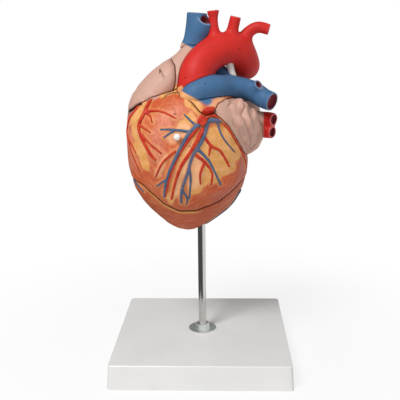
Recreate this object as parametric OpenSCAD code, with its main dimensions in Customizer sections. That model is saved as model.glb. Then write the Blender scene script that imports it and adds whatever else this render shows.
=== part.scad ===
// Anatomy model of a human heart at twice life size, on a rod and a moulded base.
// The front heart wall and both atrium walls pull off forwards; the heart lifts off its rod.
// Millimetres, +Z up, +Y away from the viewer. Origin: middle of the base's underside.

/* [Base] */
// Side of the square base at the floor
base_side = 180; // [165:1:220]
// Height of the base
base_height = 24.5; // [22:0.5:34]
// How far each side leans in at the top
base_draft = 1.5; // [0:0.1:3]
// Thickness of the base's top and sides
base_wall = 3; // [2:0.1:4]
// Radius of the base's upright corners
base_corner = 4; // [2:0.5:8]
// Bevel along the base's top edge
base_bevel = 0.8; // [0.2:0.1:1.5]
// Thickness of the ribs under the top
rib_thick = 2.4; // [1.5:0.1:4]
// How far the ribs stop above the floor
rib_rise = 4; // [2:0.5:8]
// Diameter of the boss under the rod
boss_d = 26; // [22:1:40]
// Height of the boss below the top
boss_height = 4; // [2:0.5:6]

/* [Rod and fasteners] */
// Diameter of the rod
rod_d = 8; // [6:0.1:10]
// Free length of the rod between base and heart
rod_free = 110.5; // [80:0.5:150]
// Length of rod inside the heart
rod_socket = 32; // [22:1:34]
// How far the rod stands below its lower nut
rod_tail = 1.5; // [0.5:0.5:3]
// Diameter of the washer on the base
washer_d = 29; // [22:0.5:34]
// Diameter of the washer under the base
under_washer_d = 20; // [17:0.5:21]
// Thickness of both washers
washer_thick = 1.6; // [1:0.1:2]
// Width across the flats of both nuts
nut_flats = 13; // [11:0.5:15]
// Height of both nuts
nut_height = 5; // [3:0.5:6]
// Wall of the nylon liner that takes the rod
liner_wall = 2.4; // [1.5:0.1:3]

/* [Heart] */
// Size of the heart, in times life size
times_life = 2; // [1.9:0.05:2.2]
// Thickness of the removable front wall
front_wall_thick = 9; // [7:0.5:10]
// Thickness of the two removable atrium walls
atrium_wall_thick = 5; // [4:0.5:6]
// Depth of the plane where the removable walls end
split_depth = 0; // [-2:0.5:2]
// Radius of the coronary arteries, as a share of their drawn size
artery_fullness = 1; // [0.8:0.05:1.2]

/* [Vessels, as drawn at twice life size] */
// Diameter of the aorta where it leaves the heart
aorta_d = 34; // [30:0.5:36]
// Diameter of the aortic arch
arch_d = 31; // [28:0.5:32]
// Diameter of the pulmonary trunk
pulmonary_d = 25; // [22:0.5:26]
// Diameter of the superior vena cava
cava_d = 20; // [18:0.5:22]
// Diameter of the pulmonary veins
lung_vein_d = 12.5; // [10:0.5:14]
// Width of the rim round each cut vessel end
rim = 1.8; // [1:0.1:2.5]
// Depth of the hollow in each cut vessel end
end_depth = 4; // [2:0.5:8]

/* [Pins, knob and hook] */
// Diameter of the pins that locate the removable walls
pin_d = 3; // [2:0.1:4]
// Length of each pin
pin_length = 9; // [6:0.5:12]
// Diameter of the pull knob's stem
knob_stem_d = 4; // [3:0.1:5]
// Diameter of the pull knob's head
knob_d = 6.4; // [5:0.1:9]
// How far the knob stands out of the wall
knob_reach = 6; // [4:0.5:10]
// Thickness of the hook's wire
hook_wire = 0.9; // [0.6:0.1:1.2]
// Radius of the hook's bend
hook_bend = 2; // [1.5:0.1:3]

/* [Fits] */
// Seam between the removable walls and their neighbours
seam = 0.4; // [0.3:0.05:0.8]
// Gap between two glued mouldings
glue_gap = 0.05; // [0.02:0.01:0.1]
// Clearance round a pin or round the rod, on the radius
run_gap = 0.08; // [0.03:0.01:0.1]

/* [Hidden] */

// The sculpted forms are drawn at twice life size, above the heart's lowest point
k = times_life / 2;
heart_z = base_height + rod_free;
hair = 0.01;

base_top = base_height - base_wall;
boss_bottom = base_top - boss_height;
under_nut_top = boss_bottom - washer_thick;
rod_bottom = under_nut_top - nut_height - rod_tail;
nut_bottom = base_height + washer_thick;
liner_bottom = heart_z + 11 * k;
rod_top = liner_bottom + rod_socket;
liner_cap = 2;
liner_top = rod_top + liner_cap;
liner_d = rod_d + 2 * run_gap + 2 * liner_wall;

artery_red = [0.80, 0.13, 0.13];
vein_blue = [0.24, 0.42, 0.61];
muscle = [0.86, 0.55, 0.36];
atrium_pink = [0.85, 0.70, 0.62];
cord_white = [0.93, 0.92, 0.88];

// ---------------------------------------------------------------- curves and tubes

function unit(v) = v / max(norm(v), 1e-9);
function xyz(p) = [p.x, p.y, p.z];
function at(v, i) = v[max(0, min(len(v) - 1, i))];

// Catmull-Rom curve between b and c
function blend4(a, b, c, d, t) =
    0.5 * (2 * b + (c - a) * t + (2 * a - 5 * b + 4 * c - d) * t * t + (3 * b - a - 3 * c + d) * t * t * t);

// A smooth list through the points of v, with n steps between two of them
function smooth(v, n) = [
    for (i = [0 : len(v) - 2]) for (j = [0 : n - 1])
        blend4(at(v, i - 1), v[i], v[i + 1], at(v, i + 2), j / n),
    v[len(v) - 1]
];

// Triangles over rings of points, with flat ends
function ring_faces(rings, sides) = concat(
    [[for (s = [0 : sides - 1]) s]],
    [for (r = [0 : rings - 2]) for (s = [0 : sides - 1])
        let (a = r * sides + s, b = r * sides + (s + 1) % sides)
        [a, b + sides, b]],
    [for (r = [0 : rings - 2]) for (s = [0 : sides - 1])
        let (a = r * sides + s, b = r * sides + (s + 1) % sides)
        [a, a + sides, b + sides]],
    [[for (s = [sides - 1 : -1 : 0]) (rings - 1) * sides + s]]
);

// A tube along points [x, y, z, radius]. Across ref its section is the radius times wide.
module vessel(points, sides = 16, steps = 3, ref = [0, 1, 0], wide = 1, grow = 0) {
    p = smooth(points, steps);
    last = len(p) - 1;
    verts = [
        for (i = [0 : last])
            let (
                along = unit(xyz(at(p, i + 1)) - xyz(at(p, i - 1))),
                side = unit(cross(ref, along)),
                up = cross(along, side),
                r = p[i][3] + grow / k
            )
            for (s = [0 : sides - 1])
                let (a = 360 * s / sides)
                xyz(p[i]) + r * cos(a) * side + r * wide * sin(a) * up
    ];
    polyhedron(verts, ring_faces(last + 1, sides), convexity = 6);
}

// The hollow in the cut end of a tube, at its last points
module end_hollow(points, steps = 3, depth = end_depth, sides = 12) {
    p = smooth(points, steps);
    tip = p[len(p) - 1];
    out = unit(xyz(tip) - xyz(p[len(p) - 2]));
    rod_between(xyz(tip) - depth / k * out, xyz(tip) + 2 * out, tip[3] - rim / k, sides);
}

// A straight round bar from one point to another
module rod_between(from, to, r, sides = 16, r2 = undef) {
    v = to - from;
    translate(from)
        rotate([0, acos(v.z / norm(v)), atan2(v.y, v.x)])
            cylinder(h = norm(v), r1 = r, r2 = is_undef(r2) ? r : r2, $fn = sides);
}

module egg(centre, radii, facets = 16) {
    translate(centre) scale(radii) sphere(1, $fn = facets);
}

// Joins sculpted forms into one smooth skin
module one_skin() {
    resize([0, 0, 0]) union() children();
}

// From the sculptor's space to the stand's
module in_place() {
    translate([0, 0, heart_z]) scale(k) children();
}
function placed(p) = [k * p.x, k * p.y, heart_z + k * p.z];

// ---------------------------------------------------------------- the ventricles

// Rings from the apex up: height, left, right, front, back
ventricle_rings = [
    [0.5, -17, -11, -3, 3], [3, -25, -2, -10, 10], [9, -35, 7, -18, 18], [18, -45, 19, -27, 27],
    [26, -53, 28.5, -34, 33], [35, -60, 36.5, -41, 39], [47, -67, 43, -47, 44], [60, -71, 47, -52, 47],
    [72, -73, 48, -56, 49], [88, -74, 47.5, -58, 50], [104, -74, 46, -58, 49], [120, -72.5, 44, -54, 45],
    [130, -63, 40, -48, 39], [138, -49, 33, -38, 29], [143.5, -33, 24, -25, 17], [147, -12, 4, -8, 4],
];
ventricle_centre = [-13, -4, 80];
ventricle_reach = [61, 54, 77];
ventricle_sides = 22;
squareness = 2.3;

function ring_at(z) = [for (c = [1 : 4]) lookup(z, [for (r = ventricle_rings) [r[0], r[c]]])];
function bulge(c) = sign(c) * pow(abs(c), 2 / squareness);

module ventricles() {
    verts = [
        for (r = ventricle_rings) for (s = [0 : ventricle_sides - 1])
            let (a = 360 * s / ventricle_sides)
            [
                (r[1] + r[2]) / 2 + (r[2] - r[1]) / 2 * bulge(cos(a)),
                (r[3] + r[4]) / 2 + (r[4] - r[3]) / 2 * bulge(sin(a)),
                r[0]
            ]
    ];
    polyhedron(verts, ring_faces(len(ventricle_rings), ventricle_sides), convexity = 4);
}

// The same form, smaller all round
module ventricles_inset(t) {
    translate(ventricle_centre)
        scale([for (r = ventricle_reach) (r - t / k) / r])
            translate(-ventricle_centre) ventricles();
}

// A point on the ventricles' skin, from its place in the front view; face is -1 in front, 1 behind
function on_skin(x, z, face = -1) =
    let (
        r = ring_at(z),
        share = abs(2 * x - r[0] - r[1]) / (r[1] - r[0]),
        fall = pow(max(0, 1 - pow(share, squareness)), 1 / squareness)
    )
    [x, (r[2] + r[3]) / 2 + face * (r[3] - r[2]) / 2 * fall, z];

// ---------------------------------------------------------------- the atria and the great vessels

right_atrium = [
    [-62, 4, 101, 7], [-58, 4, 114, 17.5], [-50, 3, 129, 22], [-38, 3, 144, 21.5], [-24, 4, 157, 20],
    [-14, 6, 169, 15], [-8.5, 9.5, 180, 12], [-7, 10, 187, 10.6],
];
right_atrium_chamber = [[-52, 4, 129, 14], [-48, 4, 134, 17], [-38, 4, 144, 16.5], [-24, 4, 156, 15], [-16, 6, 166, 10]];
atrium_depth = 1.35;

cava = [
    [-8.6, 10, 184.5, cava_d / 2 + 1], [-5.2, 10, 192, cava_d / 2 + 1],
    [-3.5, 10, 207, cava_d / 2], [-2.5, 10, 218.4, cava_d / 2],
];
// The stub of the vein from the left arm
cava_side = [[-4, 10, 203, 7.5], [1.5, 5, 207.5, 7.2], [6.2, 0.3, 210.6, 6.8]];
lower_cava = [[-40, 32, 128, 9], [-44, 42, 114, 9.5], [-46, 48, 94, 10]];

aorta = [
    [-4, -13, 131, aorta_d / 2], [-5, -15, 149, aorta_d / 2], [-2, -13, 163, (aorta_d + arch_d) / 4],
    [8, -5, 176, arch_d / 2], [24, 4, 183.5, arch_d / 2], [38, 13, 181, arch_d / 2],
    [44.5, 24, 169.5, arch_d / 2 - 0.5], [47, 35, 165, arch_d / 2 - 2],
];
// The three branches of the arch, from the viewer's left
arch_branches = [
    [[17, 1, 188, 8], [15, 0, 198, 5], [14, 0, 211, 3.9], [13.2, 0, 220, 6]],
    [[30, 7, 188, 8], [32, 6, 200, 5.6], [35.4, 5, 214.4, 5.4]],
    [[42, 14, 185, 9], [47, 12, 198, 6], [57, 10, 204, 5.4], [68.5, 9, 201.5, 5.2]],
];

pulmonary = [
    [-9, -25, 133, pulmonary_d / 2 - 1], [-5, -27, 140, pulmonary_d / 2], [4, -26, 145, pulmonary_d / 2],
    [15, -20, 147, pulmonary_d / 2 - 0.5], [28, -8, 147.5, pulmonary_d / 2 - 2],
    [43, -2, 145.5, pulmonary_d / 2 - 2.5], [55, -1, 140.5, pulmonary_d / 2 - 2.5],
    [63, -5, 135.5, pulmonary_d / 2 - 3], [71, -11, 132.5, pulmonary_d / 2 - 3.3],
];
// The upper branch stands clear of the trunk, however wide the trunk is
upper_shift = pulmonary_d / 2 - 12.5;
pulmonary_upper = [[49, -3, 143.5, 7.5], [54, -7.5, 147, 5.4], [57.5, -11 - upper_shift, 149.5 + upper_shift, 4.8]];
pulmonary_right = [[26, 2, 149.5, 10.5], [17, 16, 154, 11], [-4, 33, 152, 9], [-28, 45, 147, 8]];

left_veins = [
    [[52, 14, 114, lung_vein_d / 2 + 1], [65, 9, 114, lung_vein_d / 2], [74, 6, 113.7, lung_vein_d / 2]],
    [[52, 17, 102, lung_vein_d / 2 + 1], [64, 12, 101.5, lung_vein_d / 2], [72.5, 9, 101.3, lung_vein_d / 2]],
];
right_veins = [
    [[-4, 40, 123, lung_vein_d / 2], [-16, 46, 125, lung_vein_d / 2], [-27, 52, 126, lung_vein_d / 2]],
    [[-4, 42, 107, lung_vein_d / 2], [-16, 48, 106, lung_vein_d / 2], [-27, 54, 104, lung_vein_d / 2]],
];

module left_atrium(t = 0) {
    u = t / k;
    egg([28, 22, 111], [36 - u, 30 - u, 33 - u], 14);
    egg([2, 32, 114], [26 - u, 20 - u, 24 - u], 12);
}

// The smooth shoulder of the left atrium, where the left lung veins enter
vein_shoulder = [[46, 12, 100], [19, 20, 23]];

// The crinkled auricle: a leaf of lobes that hangs over the front
auricle_lobes = [
    [28, -24, 124, 10.5], [39, -19, 123.5, 11], [48, -10, 116, 11.5], [24, -28, 120, 8], [34, -27, 115, 10],
    [43, -20, 112, 11], [51, -9, 109, 10], [35, -25, 104, 7.5], [42, -20, 98, 8], [47, -10, 95, 8], [44, -14, 89, 5],
];
module auricle() {
    for (lobe = auricle_lobes)
        egg([lobe.x, lobe.y, lobe.z], [lobe[3], lobe[3], lobe[3] * 1.15], 8);
}
module auricle_chamber() {
    hull() {
        egg([34, -17, 124], [8, 9, 7], 8);
        egg([48, -6, 116], [7, 8, 9], 8);
        egg([41, -12, 99], [5, 7, 7], 8);
        egg([45, 2, 106], [8, 5, 10], 8);
    }
}

// The fat-covered root of the pulmonary trunk
module root_fat() {
    egg([-9, -27, 128.5], [16, 19, 14.5], 12);
    egg([14, -22, 120], [15, 17, 12], 10);
    egg([-4, -15, 137], [20, 20, 15], 10);
}

module heart_outside() {
    ventricles();
    vessel(right_atrium, wide = atrium_depth, sides = 16, steps = 2);
    left_atrium();
    egg(vein_shoulder[0], vein_shoulder[1], 12);
    auricle();
    root_fat();
}

// ---------------------------------------------------------------- where the removable walls part

// Outlines in the front view. Each runs out past the heart on its free side.
front_border = [
    [-100, 70], [-85, 66], [-71, 62], [-54, 54], [-36, 37], [-20, 28.5], [-4, 29], [18, 38],
    [34, 50], [43, 58], [49, 62], [70, 66], [70, 77], [50, 75], [42, 86], [36, 98], [28, 112],
    [21, 119], [14, 125], [7, 122.5], [2, 125.5], [-6, 134], [-14, 142], [-19, 147.5], [-26, 144.5],
    [-34, 142.5], [-47, 138], [-60, 130.5], [-73, 121.5], [-100, 106],
];
right_border = [
    [-100, 106], [-73, 121.5], [-60, 130.5], [-47, 138], [-34, 142.5], [-26, 144.5], [-23.5, 149],
    [-22.6, 158], [-23.5, 168], [-29, 176], [-45, 190], [-100, 190],
];
left_border = [
    [14, 125], [21, 119], [28, 112], [36, 98], [42, 86], [50, 75], [70, 77], [100, 80],
    [100, 120], [63, 120], [59, 126], [53, 134], [40, 137], [27, 137], [18, 133],
];
deep = 120;
// Height of the plane where the ventricle mouldings and the atrium mouldings are glued together
valve_plane = 112;
// The two walls that part right from left: [x, z] in the ventricles and in the atria
ventricle_septum = [[-18, -5], [-18, 125]];
atrium_septum = [[-5, 100], [8.5, 196]];
// The fat in front of the great arteries goes with the left atrium: edges in X and Y
root_edge = [-30, -31];
// How far the core behind the front wall runs into the rear walls
core_overlap = 6;

module border_shape(border, grow = 0) {
    offset(delta = grow / k) polygon(border);
}

// Everything in front of the split inside a border
module wall_space(border, grow) {
    rear = split_depth + grow / k;
    translate([0, rear, 0])
        rotate([90, 0, 0])
            linear_extrude(deep) border_shape(border, grow);
}

// The roots of the two great arteries, and all that is behind them: the front wall stays clear of it
module vessel_roots(grow = 0) {
    for (v = [smooth(pulmonary, 2), smooth(aorta, 2)])
        hull()
            for (y = [0, 60])
                translate([0, y, 0]) vessel([for (i = [0 : 5]) v[i]], sides = 12, steps = 1, grow = grow);
}
module front_space(grow, root_gap) {
    difference() {
        wall_space(front_border, grow);
        vessel_roots(root_gap);
    }
}

// ---------------------------------------------------------------- the chambers

// A pocket that opens forwards: round ends [x, z, radius] from a rear depth to the front
module pocket(ends, rear, facets = 8) {
    hull()
        for (e = ends) {
            translate([e.x, rear, e.y]) sphere(e.z, $fn = facets);
            translate([e.x, -ventricle_reach.y - 16, e.y]) sphere(e.z, $fn = facets);
        }
}

module right_ventricle() {
    pocket([[-48, 95, 15], [-44, 73, 13], [-29, 58, 8]], 6);
    pocket([[-46, 99, 11], [-16, 116, 11]], -30);
}
module left_ventricle() {
    pocket([[17, 98, 16], [7, 74, 15], [-6, 61, 9]], 4);
}
module right_chamber() {
    vessel(right_atrium_chamber, wide = atrium_depth, sides = 10, steps = 1);
}
module left_chamber() {
    egg([24, 30, 120], [27, 16, 19], 10);
    hull() {
        egg([30, 24, 118], [9, 9, 9], 8);
        egg([40, -2, 112], [7, 6, 8], 8);
    }
}

// The valve seats: centre of the ring, direction of flow, radius, drop of the leaflets, passage beyond
tricuspid_seat = [[-50, 4, 112], [1, 1, -13], 10.5, 9, 11];
mitral_seat = [[20, 12, 106], [-2, -13, -8], 9.5, 8, 11];
pulmonary_seat = [[-12, -27, 123.5], [4, 1, 11], 8.5, 5, 7];
aortic_seat = [[1, -9, 121], [-7, -6, 18], 8.5, 5, 7];
seat_reach = 11;
seat_sides = 10;
valve_ring = 1.6;
ring_height = 3;
// Radius of the leaflets' free edge, as a share of the ring's
leaflet_close = 0.3;

module valve_passage(seat) {
    out = unit(seat[1]);
    rod_between(seat[0] - seat_reach * out, seat[0] + seat[4] * out, seat[2], seat_sides);
}

module chambers() {
    right_ventricle();
    left_ventricle();
    right_chamber();
    left_chamber();
    for (seat = [tricuspid_seat, mitral_seat, pulmonary_seat, aortic_seat]) valve_passage(seat);
}

// ---------------------------------------------------------------- pins

// Places of the pins in the walls' rear edges: [x, z]
front_pins = [[-69.5, 78], [-69.5, 104], [42.5, 68]];
right_pins = [[-63, 142], [-38, 166]];
left_pins = [[50, 108], [43.8, 91]];

// Bars along Y through the split, at the places given
module pins(places, r, length) {
    for (p = places)
        translate(placed([p.x, split_depth, p.y]) + [0, length / 2, 0])
            rotate([90, 0, 0]) cylinder(h = length, r = r, $fn = 24);
}
module pin_holes(places) {
    pins(places, pin_d / 2 + run_gap, pin_length + 1);
}

// ---------------------------------------------------------------- stand

module base_block(side, bottom, top, corner, bevel) {
    reach = side / 2 - corner;
    hull()
        for (x = [-1, 1], y = [-1, 1]) {
            translate([x * reach, y * reach, bottom]) cylinder(h = hair, r = corner, $fn = 32);
            translate([x * (reach - base_draft), y * (reach - base_draft), top - bevel - hair])
                cylinder(h = hair, r = corner, $fn = 32);
            translate([x * (reach - base_draft), y * (reach - base_draft), top - hair])
                cylinder(h = hair, r = corner - bevel, $fn = 32);
        }
}

module base_plate() {
    inner = base_side - 2 * base_wall;
    rib_reach = (base_side / 2 - base_wall - base_draft) * sqrt(2) - base_corner / 2;
    color("whitesmoke")
        difference() {
            union() {
                difference() {
                    base_block(base_side, 0, base_height, base_corner, base_bevel);
                    base_block(inner, -1, base_top, base_corner - 1, base_bevel / 4);
                }
                for (a = [45, 135])
                    rotate(a)
                        translate([-rib_reach, -rib_thick / 2, rib_rise])
                            cube([2 * rib_reach, rib_thick, base_top + hair - rib_rise]);
                translate([0, 0, boss_bottom]) cylinder(h = boss_height + hair, d = boss_d, $fn = 48);
            }
            translate([0, 0, -1]) cylinder(h = boss_bottom + 1, d = under_washer_d + 2, $fn = 48);
            translate([0, 0, -1]) cylinder(h = base_height + 2, r = rod_d / 2 + run_gap, $fn = 48);
        }
}

module support_rod() {
    color("silver")
        translate([0, 0, rod_bottom]) cylinder(h = rod_top - rod_bottom, d = rod_d, $fn = 48);
}

module washer(d, bottom) {
    color("lightgray")
        translate([0, 0, bottom])
            difference() {
                cylinder(h = washer_thick, d = d, $fn = 64);
                translate([0, 0, -1]) cylinder(h = washer_thick + 2, r = rod_d / 2 + run_gap, $fn = 48);
            }
}
module base_washer() washer(washer_d, base_height);
module under_washer() washer(under_washer_d, under_nut_top);

module hex_nut(bottom) {
    color("gainsboro")
        translate([0, 0, bottom])
            difference() {
                cylinder(h = nut_height, d = nut_flats / cos(30), $fn = 6);
                translate([0, 0, -1]) cylinder(h = nut_height + 2, r = rod_d / 2 + run_gap, $fn = 48);
            }
}
module rod_nut() hex_nut(nut_bottom);
module under_nut() hex_nut(under_nut_top - nut_height);

module rod_liner() {
    color("ivory")
        translate([0, 0, liner_bottom])
            difference() {
                cylinder(h = liner_top - liner_bottom, d = liner_d, $fn = 48);
                translate([0, 0, -1]) cylinder(h = rod_socket + 1, r = rod_d / 2 + run_gap, $fn = 48);
            }
}

// ---------------------------------------------------------------- the heart's fixed mouldings

// The fixed rear of the heart, before it is parted at the valve plane
module heart_rear() {
    difference() {
        union() {
            difference() {
                heart_outside();
                front_space(seam / 2, -rim);
                wall_space(right_border, seam / 2);
                wall_space(left_border, seam / 2);
            }
            intersection() {
                ventricles_inset(front_wall_thick + seam);
                translate([0, core_overlap, 0]) wall_space(front_border, -seam / 2);
            }
        }
        chambers();
        aorta_form(glue_gap);
        pulmonary_form(glue_gap);
        vessel(lower_cava, sides = 12, steps = 2, grow = glue_gap);
        for (v = concat(left_veins, right_veins)) vessel(v, sides = 8, steps = 2, grow = glue_gap);
        cava_form(glue_gap);
    }
}

// All that lies above the valve plane
module above_valves(gap = 0) {
    translate([-deep, -deep, valve_plane + gap / k]) cube(2 * deep);
}
// All that lies on the viewer's right of a septum, which is the heart's left
module left_of(septum, gap = 0) {
    translate([gap / k, deep, 0])
        rotate([90, 0, 0])
            linear_extrude(2 * deep)
                polygon([septum[0], septum[1], [deep, septum[1].y], [deep, septum[0].y]]);
}
module left_atrium_side(gap = 0) {
    left_of(atrium_septum, gap);
    translate([root_edge.x + gap / k, -deep, valve_plane]) cube([deep, deep + root_edge.y - gap / k, deep]);
}

module ventricle_bores() {
    translate([0, 0, heart_z - 5])
        cylinder(h = liner_top - heart_z + 5, r = liner_d / 2 + run_gap, $fn = 48);
    pin_holes(front_pins);
    pin_holes(left_pins);
}
module right_ventricle_body() {
    color(muscle)
        difference() {
            one_skin() in_place()
                difference() {
                    heart_rear();
                    above_valves();
                    left_of(ventricle_septum);
                }
            ventricle_bores();
        }
}
module left_ventricle_body() {
    color(muscle)
        difference() {
            one_skin() in_place()
                difference() {
                    intersection() {
                        heart_rear();
                        left_of(ventricle_septum, glue_gap);
                    }
                    above_valves();
                }
            ventricle_bores();
        }
}

module right_atrium_body() {
    color(atrium_pink)
        difference() {
            one_skin() in_place()
                difference() {
                    intersection() {
                        heart_rear();
                        above_valves(glue_gap);
                    }
                    left_atrium_side();
                }
            pin_holes(right_pins);
        }
}
module left_atrium_body() {
    color(atrium_pink)
        one_skin() in_place()
            intersection() {
                heart_rear();
                above_valves(glue_gap);
                left_atrium_side(glue_gap);
            }
}

module aorta_form(grow = 0) {
    vessel(aorta, sides = 14, steps = 2, grow = grow);
    for (b = arch_branches) vessel(b, sides = 8, steps = 2, grow = grow);
}
module aorta_arch() {
    color(artery_red)
        one_skin() in_place()
            difference() {
                aorta_form();
                end_hollow(aorta, steps = 2);
                for (b = arch_branches) end_hollow(b, steps = 2, sides = 8);
                valve_passage(aortic_seat);
                valve_passage(pulmonary_seat);
            }
}

module pulmonary_form(grow = 0) {
    vessel(pulmonary, sides = 12, steps = 2, grow = grow);
    vessel(pulmonary_upper, sides = 8, steps = 1, grow = grow);
    vessel(pulmonary_right, sides = 8, steps = 2, grow = grow, ref = [0, 0, 1]);
}
module pulmonary_trunk() {
    color(vein_blue)
        one_skin() in_place()
            difference() {
                pulmonary_form();
                aorta_form(glue_gap);
                end_hollow(pulmonary, steps = 2);
                end_hollow(pulmonary_upper, steps = 1, sides = 8);
                end_hollow(pulmonary_right, steps = 2);
                valve_passage(pulmonary_seat);
            }
}

module arterial_ligament() {
    color(cord_white)
        one_skin() in_place()
            difference() {
                vessel([[28.5, 3, 172, 4.6], [31, 1, 162, 3.6], [34, -1, 151, 4.8]], sides = 8, steps = 2);
                aorta_form(glue_gap);
                pulmonary_form(glue_gap);
            }
}

module cava_form(grow = 0) {
    vessel(cava, sides = 12, steps = 2, grow = grow);
    vessel(cava_side, sides = 8, steps = 2, grow = grow);
}
module superior_vena_cava() {
    color(vein_blue)
        one_skin() in_place()
            difference() {
                cava_form();
                aorta_form(glue_gap);
                end_hollow(cava, steps = 2);
                end_hollow(cava_side, steps = 2, sides = 8);
            }
}

module inferior_vena_cava() {
    color(vein_blue)
        one_skin() in_place()
            difference() {
                vessel(lower_cava, sides = 12, steps = 2);
                chambers();
                end_hollow(lower_cava, steps = 2);
            }
}

module lung_veins(veins) {
    color(artery_red)
        one_skin() in_place()
            for (v = veins)
                difference() {
                    vessel(v, sides = 8, steps = 2);
                    left_chamber();
                    end_hollow(v, steps = 2, sides = 8);
                }
}
module left_pulmonary_veins() lung_veins(left_veins);
module right_pulmonary_veins() lung_veins(right_veins);

// ---------------------------------------------------------------- valves, papillary muscles and cords

// A ring in the seat with leaflets that close towards the flow
module valve(seat, leaflets) {
    out = unit(seat[1]);
    r = seat[2] - glue_gap / k;
    drop = seat[3];
    color(cord_white)
        one_skin() in_place()
            translate(seat[0])
                rotate([0, acos(out.z), atan2(out.y, out.x)]) {
                    difference() {
                        cylinder(h = ring_height, r = r, $fn = seat_sides);
                        translate([0, 0, -1])
                            cylinder(h = ring_height + 2, r = r - valve_ring, $fn = seat_sides);
                    }
                    for (i = [0 : leaflets - 1])
                        rotate(360 * i / leaflets) leaflet(r, leaflets, drop);
                }
}
// One leaflet: a share of a thin funnel, with a free edge that curves in
module leaflet(r, leaflets, drop) {
    half = 180 / leaflets - 5;
    start = ring_height / 2;
    intersection() {
        difference() {
            translate([0, 0, start]) cylinder(h = drop, r1 = r - 0.5, r2 = r * leaflet_close, $fn = seat_sides);
            translate([0, 0, start - 0.1])
                cylinder(h = drop + 0.2, r1 = r - 1.7, r2 = r * leaflet_close - 1.2, $fn = seat_sides);
        }
        linear_extrude(drop + 2)
            polygon([[0, 0], 2 * r * [cos(half), -sin(half)], [2 * r, 0], 2 * r * [cos(half), sin(half)]]);
    }
}
module tricuspid_valve() valve(tricuspid_seat, 3);
module mitral_valve() valve(mitral_seat, 2);
module pulmonary_valve() valve(pulmonary_seat, 3);
module aortic_valve() valve(aortic_seat, 3);

// Papillary muscles: foot in the wall, tip below a valve
papillaries = [
    [[-52, 12, 68, 5], [-51, 6, 78, 3.4], [-49, 3, 87, 1.8]],
    [[-38, 12, 64, 5], [-39, 5, 74, 3.2], [-42, 2, 84, 1.8]],
    [[-3, 10, 62, 5], [3, 4, 70, 4], [9, 1, 80, 2.2]],
    [[20, 15, 76, 5], [20, 8, 82, 4], [18, 3, 88, 2.2]],
];
module papillary_muscles() {
    color("salmon")
        one_skin() in_place()
            intersection() {
                chambers();
                for (p = papillaries) vessel(p, sides = 8, steps = 2);
            }
}

// Cords from each tip to just below the edge of the leaflets: papillary muscle, valve, place round its edge
cord_ends = [
    [0, tricuspid_seat, 200], [0, tricuspid_seat, 260], [0, tricuspid_seat, 140],
    [1, tricuspid_seat, 20], [1, tricuspid_seat, 320],
    [2, mitral_seat, 180], [2, mitral_seat, 240],
    [3, mitral_seat, 0], [3, mitral_seat, 60],
];
cord_r = 0.6;
cord_gap = 0.15;
// A point just below a valve's free edge
function below_edge(seat, turn) =
    let (
        out = unit(seat[1]),
        side = unit(cross([0, 1, 0.1], out)),
        r = seat[2] * leaflet_close
    )
    seat[0] + (ring_height / 2 + seat[3] + (cord_gap + cord_r) / k) * out
        + r * (cos(turn) * side + sin(turn) * cross(out, side));

module chordae() {
    color(cord_white)
        one_skin() in_place()
            difference() {
                for (c = cord_ends)
                    rod_between(xyz(papillaries[c[0]][2]), below_edge(c[1], c[2]), cord_r, 4);
                for (p = papillaries) vessel(p, sides = 8, steps = 2, grow = glue_gap);
            }
}

module locating_pins() {
    color("silver") {
        pins(front_pins, pin_d / 2, pin_length);
        pins(right_pins, pin_d / 2, pin_length);
        pins(left_pins, pin_d / 2, pin_length);
    }
}

// ---------------------------------------------------------------- coronary vessels in relief

// Each branch: radius at its start and end, then places [x, z] in the front view
arteries_in_front = [
    [2.6, 1.8, [-46, 138], [-50, 127], [-56, 114], [-54, 104], [-46, 89], [-41, 83]],
    [1.8, 1.2, [-50, 126], [-36, 127], [-21, 121]],
    [1.6, 1, [-49, 125], [-45, 122], [-43, 117]],
    [1.6, 1, [-55, 114], [-50, 111], [-45, 108]],
    [1.6, 1.1, [-53, 105], [-46, 98], [-35, 89]],
    [2, 1.2, [-55, 134], [-66, 119], [-70, 106], [-67, 99], [-60, 88]],
    [1.5, 1, [-69, 103], [-64, 85], [-57, 70]],
    [3, 1.6, [6, 122], [-6, 107], [-19, 88], [-27, 69], [-33, 46]],
    [2.6, 1.4, [4, 111], [-6, 93], [-16, 78], [-22, 63], [-27, 43]],
    [1.6, 1.1, [-22, 91], [-34, 80], [-41, 66]],
    [2, 1.4, [3, 108], [11, 96], [20, 90], [28, 75]],
    [1.6, 1.1, [11, 96], [9, 86]],
    [2.2, 1.3, [-3, 88], [6, 80], [12, 70], [11, 58]],
    [1.8, 1.1, [4, 78], [1, 69], [1, 59]],
    [1.8, 1.5, [24, 115], [33, 107], [39, 95], [44, 72]],
    [3.4, 3, [3, 119], [8, 124], [18, 119], [24, 114]],
];
veins_in_front = [
    [3, 1.6, [22, 118], [7, 118], [-8, 108], [-22, 84], [-31, 62], [-34, 46]],
    [2.4, 1.4, [8, 117], [4, 103], [-6, 86], [-11, 70], [-17, 52], [-18, 39]],
    [2, 1.3, [0, 92], [10, 80], [20, 57]],
    [1.5, 1.1, [-9, 76], [-8, 64], [-10, 44]],
    [1.5, 1, [-16, 52], [-12, 44], [-13, 37]],
    [1.8, 1.1, [-8, 109], [-23, 111], [-35, 111]],
    [1.5, 1.1, [-23, 110], [-32, 104]],
    [1.6, 1, [-3, 115], [-13, 124]],
    [1.5, 1, [17, 116], [22, 103], [33, 88]],
    [1.5, 1, [-32, 63], [-41, 56]],
];
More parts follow.
